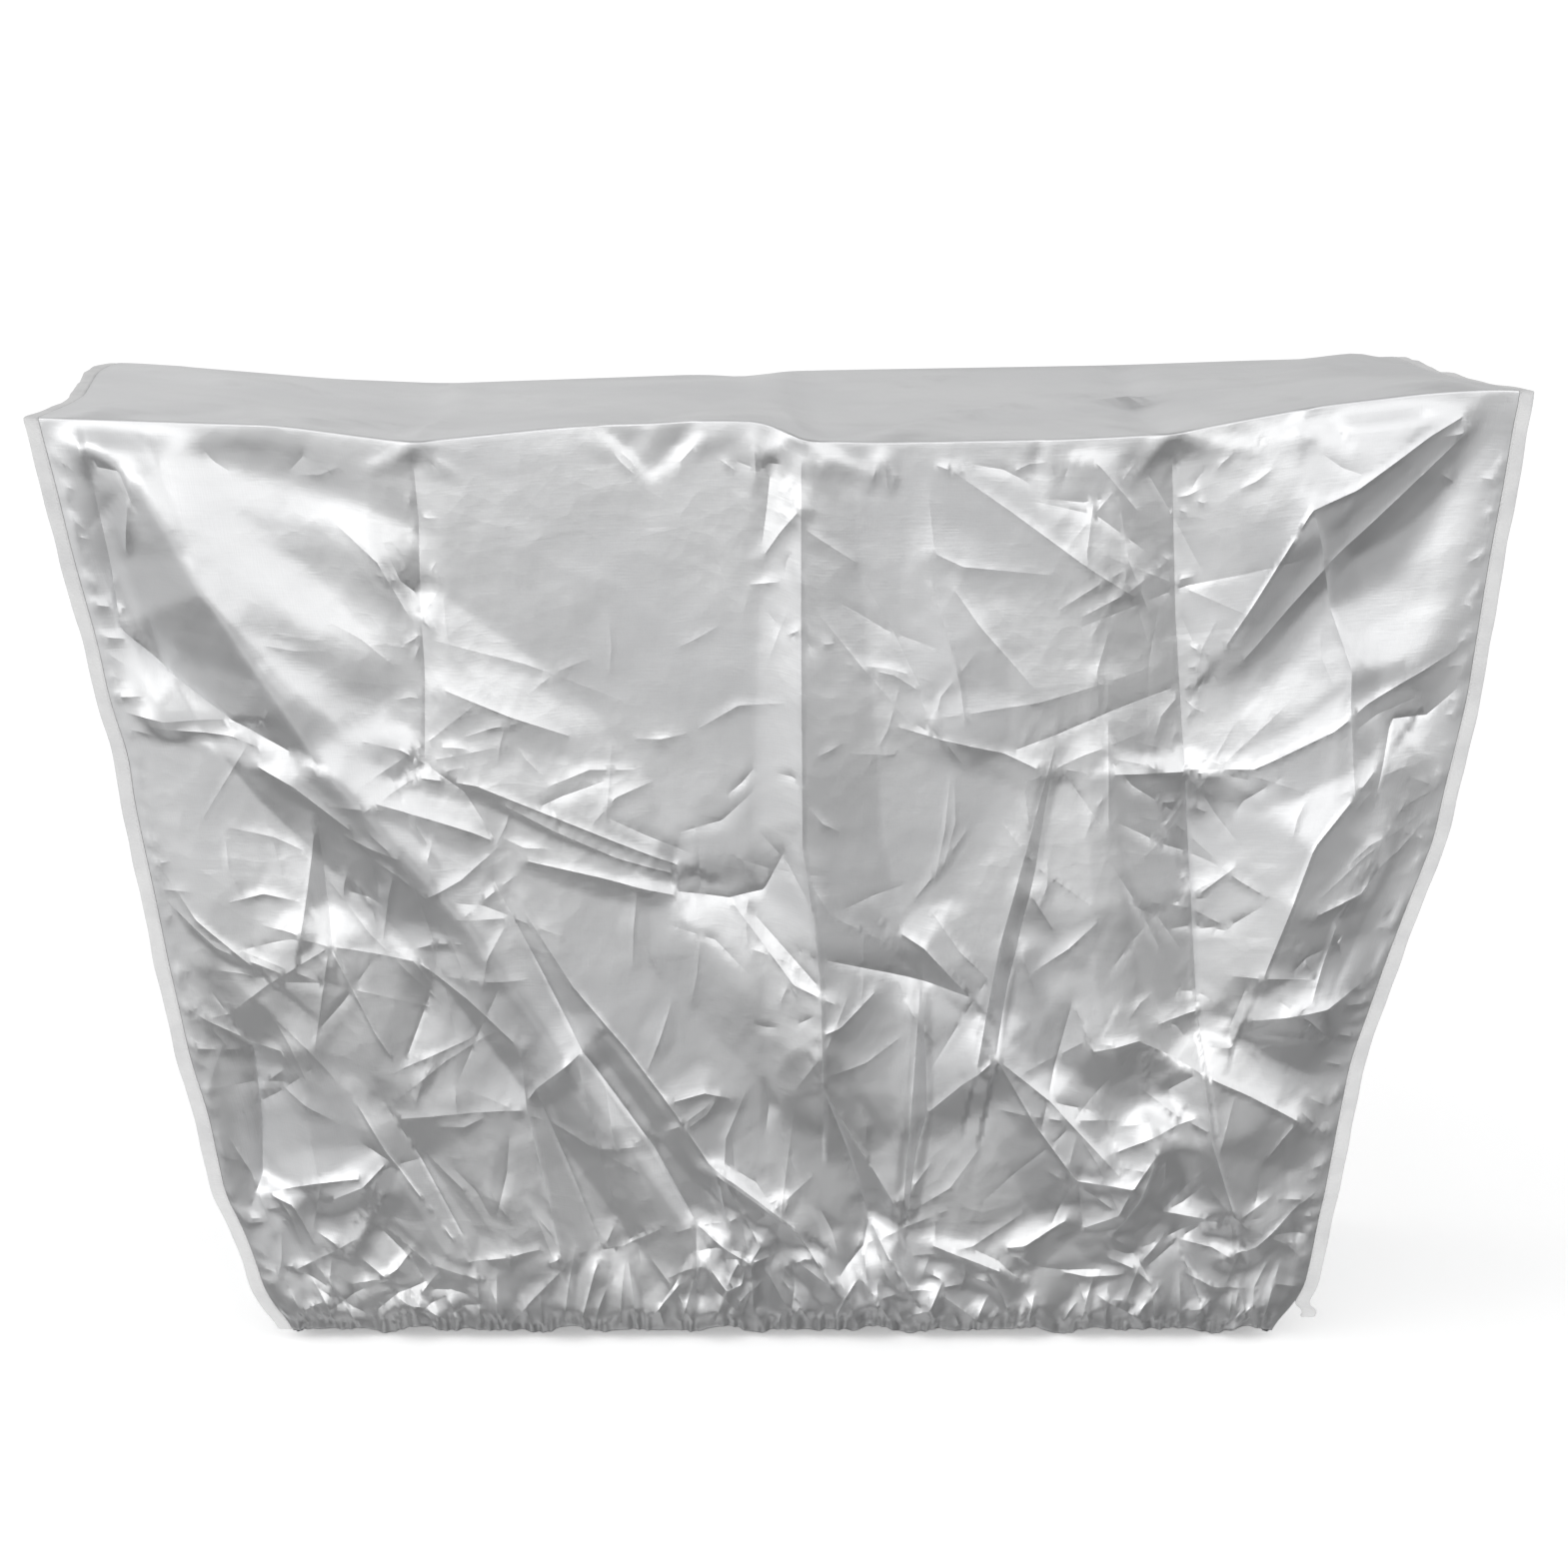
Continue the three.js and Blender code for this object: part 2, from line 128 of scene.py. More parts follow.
def nearest(fold, x, z):
    """Distance from a fold's path, the side of it and the place along it, 0 to 1."""
    best = np.full(x.shape, 1e9)
    side = np.ones(x.shape)
    place = np.zeros(x.shape)
    path = fold["path"]
    for i in range(len(path) - 1):
        step = path[i + 1] - path[i]
        along = np.clip(((x - path[i, 0]) * step[0] + (z - path[i, 1]) * step[1]) / (step @ step), 0, 1)
        off_x = x - path[i, 0] - along * step[0]
        off_z = z - path[i, 1] - along * step[1]
        distance = np.hypot(off_x, off_z)
        closer = distance < best
        best = np.where(closer, distance, best)
        side = np.where(closer, step[0] * off_z - step[1] * off_x, side)
        place = np.where(closer, (i + along) / (len(path) - 1), place)
    return best, side, place


def around(fold, x, z, reach):
    low = fold["path"].min(0) - reach
    high = fold["path"].max(0) + reach
    return (x > low[0]) & (x < high[0]) & (z > low[1]) & (z < high[1])


def relief(folds, x, z):
    """Height of the cloth out of its face, from all its folds."""
    total = np.zeros(x.shape)
    for fold in folds:
        near = around(fold, x, z, max(fold["left"], fold["right"]))
        if not near.any():
            continue
        distance, side, place = nearest(fold, x[near], z[near])
        grow = np.interp(place, np.linspace(0, 1, len(fold["grow"])), fold["grow"])
        flank = np.maximum(np.where(side > 0, fold["left"], fold["right"]) * (0.3 + 0.7 * grow), 3)
        rounded = np.sqrt(distance**2 + fold["crest"] ** 2) - fold["crest"]
        easing = 1 + np.where(side > 0, fold["soft"][0], fold["soft"][1])
        total[near] += fold["rise"] * grow * np.clip(1 - rounded / flank, 0, 1) ** easing
    return total


def snap(folds, x, z):
    """Moves the net's points nearest to a crisp fold onto it, so that its crest is one clean line. Gives
    each such point its fold's number, and the height of the pinched rib that a creased coating keeps."""
    number, pinch = np.zeros(x.shape), np.zeros(x.shape)
    free = np.zeros(x.shape, bool)
    free[5:-3, 3:-3] = True
    steps = np.abs(np.gradient(z, axis=0)), np.abs(np.gradient(x, axis=1))
    for k, fold in enumerate(folds, 1):
        near = around(fold, x, z, 8)
        rows, columns = np.flatnonzero(near.any(1)), np.flatnonzero(near.any(0))
        if fold["crest"] > 2 or len(rows) < 4 or len(columns) < 4:
            continue
        block = slice(rows[0], rows[-1] + 1), slice(columns[0], columns[-1] + 1)
        path = fold["path"]
        for s in range(len(path) - 1):
            (ax, az), (bx, bz) = path[s], path[s + 1]
            steep = abs(bz - az) * steps[1][block].mean() > abs(bx - ax) * steps[0][block].mean()
            if steep:
                moved, axis = x[block], 1
                along = (z[block] - az) / (bz - az)
                goal = ax + along * (bx - ax)
            else:
                moved, axis = z[block], 0
                along = (x[block] - ax) / (bx - ax)
                goal = az + along * (bz - az)
            off = moved - goal
            crossing = np.diff(np.sign(off), axis=axis) != 0
            first, second = np.delete(off, -1, axis), np.delete(off, 0, axis)
            pads = [(0, 1), (0, 0)] if axis == 0 else [(0, 0), (0, 1)]
            later = [pad[::-1] for pad in pads]
            pick = np.pad(crossing & (np.abs(first) <= np.abs(second)), pads)
            pick |= np.pad(crossing & (np.abs(first) > np.abs(second)), later)
            i, j = np.nonzero(pick & free[block] & (along >= 0) & (along <= 1))
            inside = (i > 0) & (j > 0) & (i < off.shape[0] - 1) & (j < off.shape[1] - 1)
            i, j = i[inside], j[inside]
            before = moved[i, j - 1] if steep else moved[i - 1, j]
            after = moved[i, j + 1] if steep else moved[i + 1, j]
            good = np.minimum(goal[i, j] - before, after - goal[i, j]) > 0.28 * steps[axis][block][i, j]
            i, j = i[good], j[good]
            moved[i, j] = goal[i, j]
            place = (s + along[i, j]) / (len(path) - 1)
            grow = np.interp(place, np.linspace(0, 1, len(fold["grow"])), fold["grow"])
            number[block][i, j] = k
            pinch[block][i, j] = fold["pinch"] * grow
            free[block][i, j] = False
    return x, z, number, pinch


front_folds = [
    # the upper left corner: the hollow under the long fold, the long ridge and the dark plane under it
    crease(-4, 26, 36, [(-405, -6), (-368, -17), (-317, -30), (-272, -42), (-222, -60)], 5, (0.5, 1, 1, 0.4),
           (0.6, 0.5)),
    crease(19, 62, 46, [(-433, 0), (-406, -15), (-374, -37), (-344, -91), (-312, -142), (-278, -196),
                        (-226, -258), (-186, -306), (-137, -382), (-52, -517)], 3.5,
           (0.4, 0.8, 1, 1, 1, 0.8, 0.6, 0.5, 0.4), (0.9, 0)),
    crease(-14, 52, 26, [(-403, -40), (-396, -84), (-391, -125), (-359, -156), (-326, -179), (-290, -197)],
           1, (0.7, 1, 1, 1, 0.8, 0.4), (0, 0.2)),
    crease(-2.5, 20, 24, [(-334, -60), (-273, -90), (-227, -118)], 8, (0.2, 1, 0.6)),
    crease(-2.5, 20, 24, [(-310, -126), (-238, -169)], 7, (0.2, 1)),
    crease(2, 22, 22, [(-336, -58), (-302, -101), (-255, -146)], 6, (0.2, 1, 0.6)),
    crease(8, 40, 12, [(-398, -172), (-366, -179), (-326, -178)], 1.2, (0.7, 1, 0.6), (0.2, 0.2)),
    crease(5, 12, 14, [(-376, -182), (-327, -188), (-310, -194)], 0.8, (0.4, 1, 0.8)),
    crease(4, 10, 8, [(-312, -205), (-290, -217), (-255, -245)], 0.8, (0.5, 1, 0.2)),
    crease(4, 80, 9, [(-376, -262), (-352, -300), (-318, -330)], 0.8, (0.6, 1, 0.6), (0.1, 0)),
    crease(3.5, 9, 9, [(-372, -287), (-340, -318), (-300, -334)], 0.8, (0.6, 1, 0.4)),
    crease(-3, 14, 14, [(-400, -28), (-386, -30), (-378, -52)], 1.2, (1, 0.5)),
    crease(3, 8, 10, [(-380, -40), (-384, -66), (-386, -80)], 0.8, (0.8, 1, 0.2)),
    # the first packing crease and the planes beside it
    crease(-3, 18, 30, [(-217, -15), (-214, -60), (-214, -101)], 0.8, (0.5, 1, 0.8), (0.8, 0.2)),
    crease(-3, 20, 24, [(-214, -101), (-212, -150), (-213, -205)], 0.8, (0.8, 1, 0.7), (0.8, 0.2)),
    crease(-2.5, 12, 14, [(-236, -70), (-225, -96), (-216, -104)], 0.8, (0.2, 1)),
    crease(4, 26, 34, [(-262, -62), (-238, -84), (-220, -118)], 2, (0.2, 1, 0.5), (0.2, 0.6)),
    crease(-4.5, 64, 34, [(-208, -96), (-152, -138), (-114, -170), (-78, -214), (-68, -262)], 2.5,
           (0.4, 1, 1, 0.6), (0.3, 0.2)),
    crease(3, 26, 26, [(-201, -160), (-162, -176), (-125, -189)], 1.2, (0.4, 1, 0.2), (0.2, 0.4)),
    crease(-3, 14, 16, [(-212, -205), (-190, -222), (-171, -253)], 0.8, (1, 0.4)),
    crease(3, 14, 16, [(-250, -190), (-226, -196), (-205, -210)], 0.8, (0.3, 1, 0.6)),
    crease(2.5, 24, 12, [(-243, -226), (-186, -246), (-171, -253)], 0.5, (0.5, 1, 0.5)),
    crease(3, 34, 10, [(-216, -213), (-182, -218), (-122, -243), (-62, -268)],
           0.5, (0.6, 1, 1, 0.9), (0.1, 0)),
    crease(2, 8, 10, [(-166, -230), (-136, -246), (-100, -262), (-65, -273)], 0.5, (0.4, 1, 1, 0.6)),
    crease(3, 16, 12, [(-154, -264), (-110, -274), (-65, -286)], 0.5, (0.7, 1, 0.8), (0.1, 0)),
    crease(-4, 14, 12, [(-66, -262), (-68, -276), (-65, -286)], 0.8),
    crease(-4, 26, 40, [(-65, -284), (-33, -288), (-12, -283), (1, -257)], 0.9, (0.8, 1, 0.5), (0.2, 0.3)),
    crease(4, 24, 34, [(-74, -286), (-40, -324), (-5, -364), (14, -397)], 6, (0.6, 1, 0.6)),
    # the puckers of the front fold
    crease(2.5, 12, 16, [(-105, -8), (-96, -19), (-86, -28)], 0.8, (1, 0.2)),
    crease(2.5, 12, 12, [(-62, -27), (-50, -14), (-36, -4)], 0.8, (0.2, 1)),
    crease(3, 12, 14, [(-18, -8), (-17, -22), (-16, -38)], 0.8, (1, 0.2)),
    crease(-2, 12, 12, [(-8, -32), (-10, -52), (-13, -75)], 0.8, (1, 0.1)),
    crease(2.5, 10, 14, [(9, -53), (-2, -66), (-13, -82)], 0.8, (1, 0.3)),
    crease(3, 10, 18, [(58, -15), (55, -25), (51, -38)], 0.8, (1, 0.2)),
    crease(2.5, 12, 12, [(58, -19), (61, -45)], 0.8, (1, 0.1)),
    # the second packing crease, bright on its left and dark on its right
    crease(11, 52, 34, [(10, -14), (10, -120), (11, -255), (18, -302), (22, -342), (24, -407)], 0.8,
           (0.3, 0.8, 1, 1), (0.1, 0.5)),
    crease(-8, 28, 36, [(24, -407), (38, -447), (52, -494)], 0.8, (0.7, 1, 0.8), (0.1, 0.1)),
    crease(4, 18, 22, [(24, -407), (48, -450), (71, -489)], 0.8, (0.4, 1, 0.5)),
    # the upper middle right
    crease(2.2, 34, 34, [(97, -30), (132, -54), (176, -86), (207, -106)], 0.9, (0.2, 1, 0.8), (0.1, 0.3)),
    crease(1.8, 20, 26, [(146, -6), (170, -16), (186, -30), (209, -57)], 0.9, (0.5, 1, 0.4)),
    crease(-1.2, 14, 18, [(173, -3), (162, -40)], 0.8, (1, 0.2)),
    crease(1.8, 18, 26, [(196, -50), (202, -84), (217, -120)], 0.9, (0.3, 1, 0.4)),
    crease(1.5, 16, 16, [(181, -47), (177, -79), (180, -98)], 0.8, (0.2, 1, 0.3)),
    crease(-1.8, 16, 22, [(212, -32), (228, -58), (246, -91)], 0.9, (1, 0.3)),
    crease(1.2, 18, 18, [(84, -43), (88, -77)], 0.8, (0.2, 1)),
    crease(3, 30, 30, [(85, -94), (96, -127), (104, -158), (107, -180)], 0.9, (0.4, 1, 0.8), (0, 0.3)),
    crease(2, 26, 24, [(98, -98), (115, -122), (150, -162)], 0.9, (0.5, 1, 0.2)),
    crease(1.3, 22, 20, [(88, -79), (105, -87), (158, -92)], 0.9, (0.6, 1, 0.2)),
    crease(2.5, 34, 18, [(66, -182), (93, -190), (130, -198), (151, -208)], 0.9, (0.3, 1, 0.9), (0.1, 0.2)),
    crease(-1.3, 30, 20, [(135, -197), (162, -187), (192, -174), (231, -161)], 0.9, (0.5, 1, 0.6)),
    crease(1.8, 20, 24, [(191, -155), (192, -200), (193, -244)], 0.8, (0.3, 1, 0.5)),
    crease(3.5, 14, 34, [(194, -211), (216, -212), (239, -211)], 0.9, (0.5, 1)),
    # the long wedge from the middle to the lower middle, and the planes beside it
    crease(5, 14, 52, [(161, -192), (143, -263), (129, -318), (116, -395)], 0.8, (0.1, 0.7, 1), (0, 0.4)),
    crease(-5, 70, 13, [(161, -192), (150, -272), (135, -342), (128, -387)], 0.8, (0.1, 0.8, 1), (0.1, 0)),
    crease(2.5, 14, 16, [(148, -286), (162, -308)], 0.8, (1, 0.2)),
    crease(2.5, 14, 20, [(143, -324), (153, -350)], 0.8, (1, 0.2)),
    crease(-4, 18, 22, [(24, -324), (83, -340), (112, -349)], 0.8, (0.3, 1, 0.6)),
    crease(6, 34, 14, [(68, -308), (84, -318), (112, -349)], 0.9, (0.3, 1, 0.7), (0, 0)),
    crease(4, 12, 12, [(20, -372), (34, -366), (55, -345)], 0.8, (0.4, 1, 0.3)),
    crease(5, 12, 40, [(82, -344), (78, -410), (73, -485)], 0.8, (0.2, 1, 0.8), (0, 0.5)),
    crease(-5, 40, 12, [(83, -344), (86, -390), (87, -425), (81, -449), (75, -499)],
           0.8, (0.2, 1, 0.6), (0.2, 0)),
    crease(6, 26, 30, [(128, -387), (108, -404), (87, -425)], 0.8, (1, 0.6), (0.2, 0.2)),
    crease(8, 40, 34, [(128, -387), (153, -431), (179, -467), (213, -471), (228, -446)], 0.8, (0.6, 1, 0.8),
           (0.1, 0.2)),
    crease(6, 24, 28, [(228, -446), (218, -478), (200, -507)], 0.8, (1, 0.6), (0, 0.2)),
    crease(4, 22, 28, [(130, -389), (162, -416), (206, -465)], 0.9, (0.4, 1, 0.3)),
    crease(-3, 18, 18, [(174, -352), (164, -396), (156, -436)], 1.2, (0.3, 1, 0.3)),
    crease(4, 20, 20, [(200, -450), (226, -436), (252, -425)], 0.8, (0.3, 1, 0.5)),
    crease(-3, 12, 16, [(232, -411), (250, -398)], 0.8, (0.3, 1)),
    crease(4, 18, 14, [(224, -368), (250, -360)], 0.9, (0.3, 1)),
    # the third packing crease, dark on its left and bright on its right
    crease(-14, 56, 60, [(226, -12), (231, -116), (239, -212), (245, -292), (250, -358), (257, -399)], 0.8,
           (0.25, 0.8, 1, 1, 0.7), (0.3, 0.1)),
    crease(4, 30, 24, [(174, -352), (187, -383), (214, -376), (254, -398)],
           0.8, (0.4, 1, 0.8, 0.8), (0.2, 0.1)),
    crease(7, 26, 40, [(254, -398), (282, -411), (313, -428)], 0.5, (1, 1, 0.8), (0.2, 0)),
    crease(13, 44, 24, [(254, -398), (260, -441), (276, -491)], 0.5, (0.7, 1, 0.7), (0, 0.3)),
    crease(9, 36, 60, [(196, -214), (204, -290), (216, -372)], 3, (0.3, 1, 0.6), (0, 0.3)),
    crease(4, 12, 14, [(311, -429), (292, -457)], 0.8, (1, 0.2)),
    crease(7, 24, 24, [(334, -470), (313, -487), (290, -511), (275, -518)], 0.9, (0.7, 1, 0.4)),
    crease(4, 14, 14, [(319, -414), (331, -420), (338, -414)], 0.9, (0.3, 1)),
    # the upper right: the slanting bright band and the planes under it
    crease(8, 36, 84, [(399, 4), (375, -10), (333, -41), (307, -53), (284, -94), (258, -138)], 1,
           (0.4, 1, 1, 0.4), (0, 0.3)),
    crease(-6, 40, 40, [(399, -6), (390, -41), (358, -94), (318, -112), (287, -156)], 7, (0.4, 1, 1, 0.3),
           (0.3, 0)),
    crease(3, 10, 10, [(398, -7), (360, -44), (320, -83), (269, -145)], 1, (0.5, 1, 0.3)),
    crease(3, 14, 18, [(308, 8), (305, -12)], 0.8, (1, 0.2)),
    crease(-3, 14, 18, [(308, 8), (326, -12)], 0.8, (1, 0.3)),
    crease(4, 20, 30, [(308, -52), (314, -74), (321, -112), (334, -148), (334, -169), (338, -226)], 0.8,
           (0.3, 1, 0.8, 0.3)),
    crease(4, 46, 26, [(239, -210), (278, -208), (324, -185), (343, -169), (409, -128)],
           0.8, (0.5, 1, 0.9, 0.6), (0.3, 0)),
    crease(-7, 34, 34, [(401, -156), (380, -176), (359, -178), (351, -226)], 0.9, (0.6, 1, 0.6), (0, 0)),
    crease(16, 48, 74, [(352, -205), (314, -253), (287, -336)], 1.2, (0.5, 1, 0.8), (0, 0.3)),
    crease(4, 11, 12, [(370, -229), (394, -217)], 0.9, (0.4, 1)),
    crease(4, 12, 11, [(353, -268), (366, -258), (384, -236)], 0.9, (0.5, 1)),
    crease(5, 20, 12, [(316, -296), (344, -282), (353, -268)], 0.9, (0.3, 1, 0.8)),
    crease(-3, 14, 16, [(279, -340), (269, -372), (270, -378)], 0.8, (0.5, 1)),
    crease(4, 9, 10, [(257, -382), (270, -382), (277, -375)], 0.8, (0.5, 1, 0.5)),
    crease(12, 26, 50, [(280, -364), (326, -354), (350, -338)], 0.9, (0.3, 1, 1), (0.4, 0)),
    crease(2.5, 14, 16, [(248, -288), (272, -266)], 0.8, (1, 0.3)),
    crease(6, 34, 40, [(372, -222), (330, -300), (316, -352)], 2, (0.3, 1, 0.4)),
    # the left middle: a star of small ridges
    crease(4.5, 9, 30, [(-279, -243), (-284, -280), (-289, -311)], 0.5, (0.2, 1, 1), (0, 0.3)),
    crease(-3.5, 22, 8, [(-277, -243), (-274, -285), (-270, -318)], 0.5, (0.2, 1, 1), (0.2, 0)),
    crease(1.2, 26, 20, [(-289, -311), (-272, -316), (-222, -326), (-211, -342)], 0.9, (0.5, 1, 0.5)),
    crease(2, 26, 22, [(-272, -316), (-309, -340), (-334, -360)], 0.9, (1, 0.6), (0, 0.1)),
    crease(3.5, 26, 34, [(-272, -316), (-247, -371), (-236, -390)], 0.9, (1, 1), (0, 0.1)),
    crease(2.5, 20, 24, [(-272, -316), (-284, -383)], 0.9, (1, 0.4)),
    crease(-4, 18, 20, [(-211, -342), (-228, -387)], 0.9, (0.6, 1)),
    crease(4, 22, 26, [(-220, -326), (-190, -350), (-161, -379)], 2, (1, 0.4)),
    crease(4, 20, 14, [(-371, -349), (-352, -362), (-323, -381), (-304, -385)],
           0.9, (0.7, 1, 0.6), (0.2, 0)),
    crease(-12.5, 30, 38, [(-348, -343), (-323, -385), (-320, -430), (-321, -468), (-332, -500)], 0.8,
           (0.3, 1, 1, 1, 0.4), (0.3, 0)),
    crease(5, 9, 10, [(-353, -430), (-339, -440), (-327, -465), (-315, -503)], 0.8, (0.5, 1, 0.4)),
    crease(3.5, 22, 24, [(-317, -478), (-288, -470), (-258, -466)], 0.9, (0.6, 1, 0.8)),
    crease(4, 14, 16, [(-317, -478), (-301, -485), (-289, -511)], 0.8, (0.8, 0.4)),
    crease(4, 16, 26, [(-264, -410), (-242, -449), (-202, -510)], 0.8, (0.4, 1, 0.8), (0, 0.2)),
    crease(-4, 26, 16, [(-244, -416), (-222, -455), (-197, -507)], 0.8, (0.4, 1, 0.8), (0.2, 0)),
    crease(2.2, 24, 30, [(-235, -428), (-196, -424), (-157, -421)], 1.2, (1, 0.3)),
    crease(4, 16, 18, [(-242, -455), (-258, -472), (-278, -481)], 0.8, (0.4, 1, 0.6)),
    crease(4, 14, 14, [(-246, -478), (-265, -516)], 0.8, (1, 0.5)),
    crease(-4, 14, 14, [(-249, -501), (-230, -522), (-222, -538)], 0.8, (0.6, 1)),
    # the lower left: the long dark strip and the pleats under it
    crease(-4.5, 17, 40, [(-174, -275), (-147, -330), (-122, -383), (-80, -446), (-54, -498)], 0.8,
           (0.25, 0.8, 1, 0.7), (0, 0.3)),
    crease(5, 52, 17, [(-157, -293), (-127, -342), (-94, -383), (-68, -420), (-46, -456), (9, -500)], 0.8,
           (0.25, 0.8, 1, 0.6), (0.2, 0)),
    crease(4.5, 18, 34, [(-159, -383), (-156, -423), (-149, -457), (-137, -516)],
           0.8, (0.3, 1, 0.8), (0, 0.4)),
    crease(-5, 34, 19, [(-151, -408), (-133, -457), (-112, -516)], 0.8, (0.3, 1, 0.7), (0.3, 0)),
    crease(4, 18, 24, [(-122, -383), (-150, -407), (-159, -420)], 0.9, (1, 0.3)),
    crease(3, 18, 18, [(-124, -393), (-115, -435), (-105, -481)], 0.9, (0.5, 1, 0.5)),
    crease(4, 22, 26, [(-33, -288), (6, -340), (32, -352)], 0.9, (0.3, 1, 0.4)),
    crease(-2.5, 14, 18, [(-18, -298), (22, -342)], 0.9, (0.4, 1)),
    crease(3, 18, 18, [(-68, -416), (-48, -410), (-32, -414)], 1.2, (0.4, 1, 0.4)),
    # just above the hem, from left to right
    crease(7, 18, 17, [(-42, -462), (8, -501), (29, -536)], 0.8, (0.6, 1, 0.8), (0.2, 0)),
    crease(5, 14, 16, [(-40, -463), (-37, -485), (-32, -505)], 0.8, (0.5, 1)),
    crease(5, 14, 16, [(-36, -467), (-26, -488), (-15, -510)], 0.8, (0.5, 1)),
    crease(-6, 22, 20, [(-78, -449), (-54, -498), (-54, -544)], 0.8, (0.5, 1, 0.5), (0.1, 0.1)),
    crease(5, 14, 12, [(-54, -498), (-35, -513), (-21, -522), (-14, -510)], 0.8, (0.6, 1, 0.8)),
    crease(5, 12, 14, [(-20, -524), (-19, -556)], 0.8, (1, 0.6)),
    crease(4, 12, 12, [(-11, -527), (2, -554)], 0.8, (1, 0.5)),
    crease(5, 14, 16, [(9, -522), (30, -538)], 0.8, (0.6, 1)),
    crease(5, 12, 14, [(-64, -536), (-82, -560)], 0.8, (0.5, 1)),
    crease(5, 12, 14, [(-46, -525), (-35, -540), (-26, -537), (-24, -524)], 0.8, (0.8, 1, 0.6)),
    crease(-6, 20, 18, [(53, -494), (49, -513), (33, -535)], 0.8, (1, 0.6)),
    crease(6, 16, 20, [(53, -497), (66, -522), (82, -550)], 0.8, (0.6, 1)),
    crease(5, 12, 14, [(49, -513), (53, -552)], 0.8, (0.6, 1)),
    crease(6, 14, 22, [(91, -511), (134, -528)], 0.8, (0.4, 1)),
    crease(5, 12, 14, [(90, -530), (98, -534), (90, -554), (77, -560)], 0.8, (0.6, 1, 0.6)),
    crease(5, 14, 16, [(98, -544), (124, -566)], 0.8, (0.6, 1)),
    crease(5, 14, 18, [(136, -513), (148, -511), (174, -494)], 0.8, (0.5, 1, 0.5)),
    crease(-4, 18, 18, [(180, -469), (184, -500)], 0.8, (0.5, 1)),
    crease(5, 16, 18, [(212, -472), (205, -489), (184, -500)], 0.8, (0.6, 1)),
    crease(5, 12, 14, [(232, -489), (260, -494)], 0.8, (0.4, 1)),
]

seed = np.random.default_rng(41)


def small_folds(count, x_range, z_range, rise, length, flank, bend=0.5):
    """Crinkles strewn over an area, each with its own size and direction, and bent up to an angle."""
    made = []
    for _ in range(count):
        x = seed.uniform(*x_range)
        z = seed.uniform(*z_range)
        turn = seed.uniform(-math.pi, math.pi)
        reach = seed.uniform(*length)
        then = turn + seed.uniform(-bend, bend)
        middle = (x + reach / 2 * math.cos(turn), z + reach / 2 * math.sin(turn))
        end = (middle[0] + reach / 2 * math.cos(then), middle[1] + reach / 2 * math.sin(then))
        high = seed.uniform(*rise) * seed.choice([-1, 1, 1])
        made.append(crease(high, seed.uniform(*flank), seed.uniform(*flank), [(x, z), middle, end], 0.5,
                           (0.1, 1, 0.1), (0.1, 0.1)))
    return made


def seam_puckers(side_x, low, high, way, rise):
    """Short folds that run into the cloth from a seam."""
    made = []
    z = low
    while z < high:
        x = side_x(z)
        reach = seed.uniform(6, 16) * seed.choice([1, 1, 1, 2.2])
        drop = seed.uniform(-12, 4)
        path = [(x + way * 1.5, z), (x + way * reach * 0.5, z + drop * 0.4), (x + way * reach, z + drop)]
        made.append(crease(seed.uniform(0.2, 1) * rise, seed.uniform(2.5, 7), seed.uniform(2.5, 7), path,
                           0.7, (1, 0.8, 0)))
        z += seed.uniform(3, 22)
    return made


def hem_gathers(count, left, right, foot, rise):
    """Upright folds that fan out from the elastic."""
    made = []
    for i in range(count):
        x = left + (right - left) * (i + seed.uniform(0.15, 0.85)) / count
        reach = seed.uniform(18, 50) * seed.choice([0.6, 1, 1, 1.7])
        lean = seed.uniform(-0.5, 0.5)
        base = foot(x)
        middle = (x + lean * reach * 0.5, base + reach * 0.5)
        path = [(x, base), middle, (x + lean * reach * 1.3, base + reach)]
        made.append(crease(seed.uniform(0.4, 1) * rise, seed.uniform(4, 13), seed.uniform(4, 13), path, 0.5,
                           (1, 0.75, 0), (0, 0)))
    return made


front_folds += small_folds(24, (-340, 330), (-520, -60), (0.5, 1.2), (60, 150), (20, 44), bend=0.15)
front_folds += small_folds(30, (-330, 330), (-310, -60), (0.2, 0.6), (24, 70), (6, 16), bend=0.3)
front_folds += small_folds(34, (-330, 320), (-540, -300), (0.5, 1.5), (24, 70), (6, 16), bend=0.3)

front_small = (
    small_folds(24, (-226, -200), (-215, -20), (0.3, 0.8), (8, 24), (2.5, 5))
    + small_folds(24, (-4, 24), (-400, -20), (0.3, 0.7), (8, 22), (2.5, 5))
    + small_folds(24, (222, 252), (-390, -20), (0.3, 0.7), (8, 22), (2.5, 5))
    + small_folds(30, (70, 235), (-300, -30), (0.3, 0.8), (25, 80), (3, 8))
    + small_folds(30, (-250, 30), (-330, -180), (0.3, 0.8), (25, 70), (3, 8))
    + small_folds(26, (250, 380), (-380, -200), (0.3, 0.9), (20, 60), (3, 8))
    + small_folds(50, (-330, 320), (-545, -400), (0.5, 1.5), (25, 80), (4, 10))
    + small_folds(30, (-350, -200), (-420, -220), (0.4, 1.2), (20, 70), (3, 9))
    + small_folds(24, (-400, 400), (-34, -10), (0.3, 0.9), (10, 30), (3, 7))
    + small_folds(60, (-320, 320), (-566, -510), (0.8, 2.2), (14, 50), (4, 9))
)
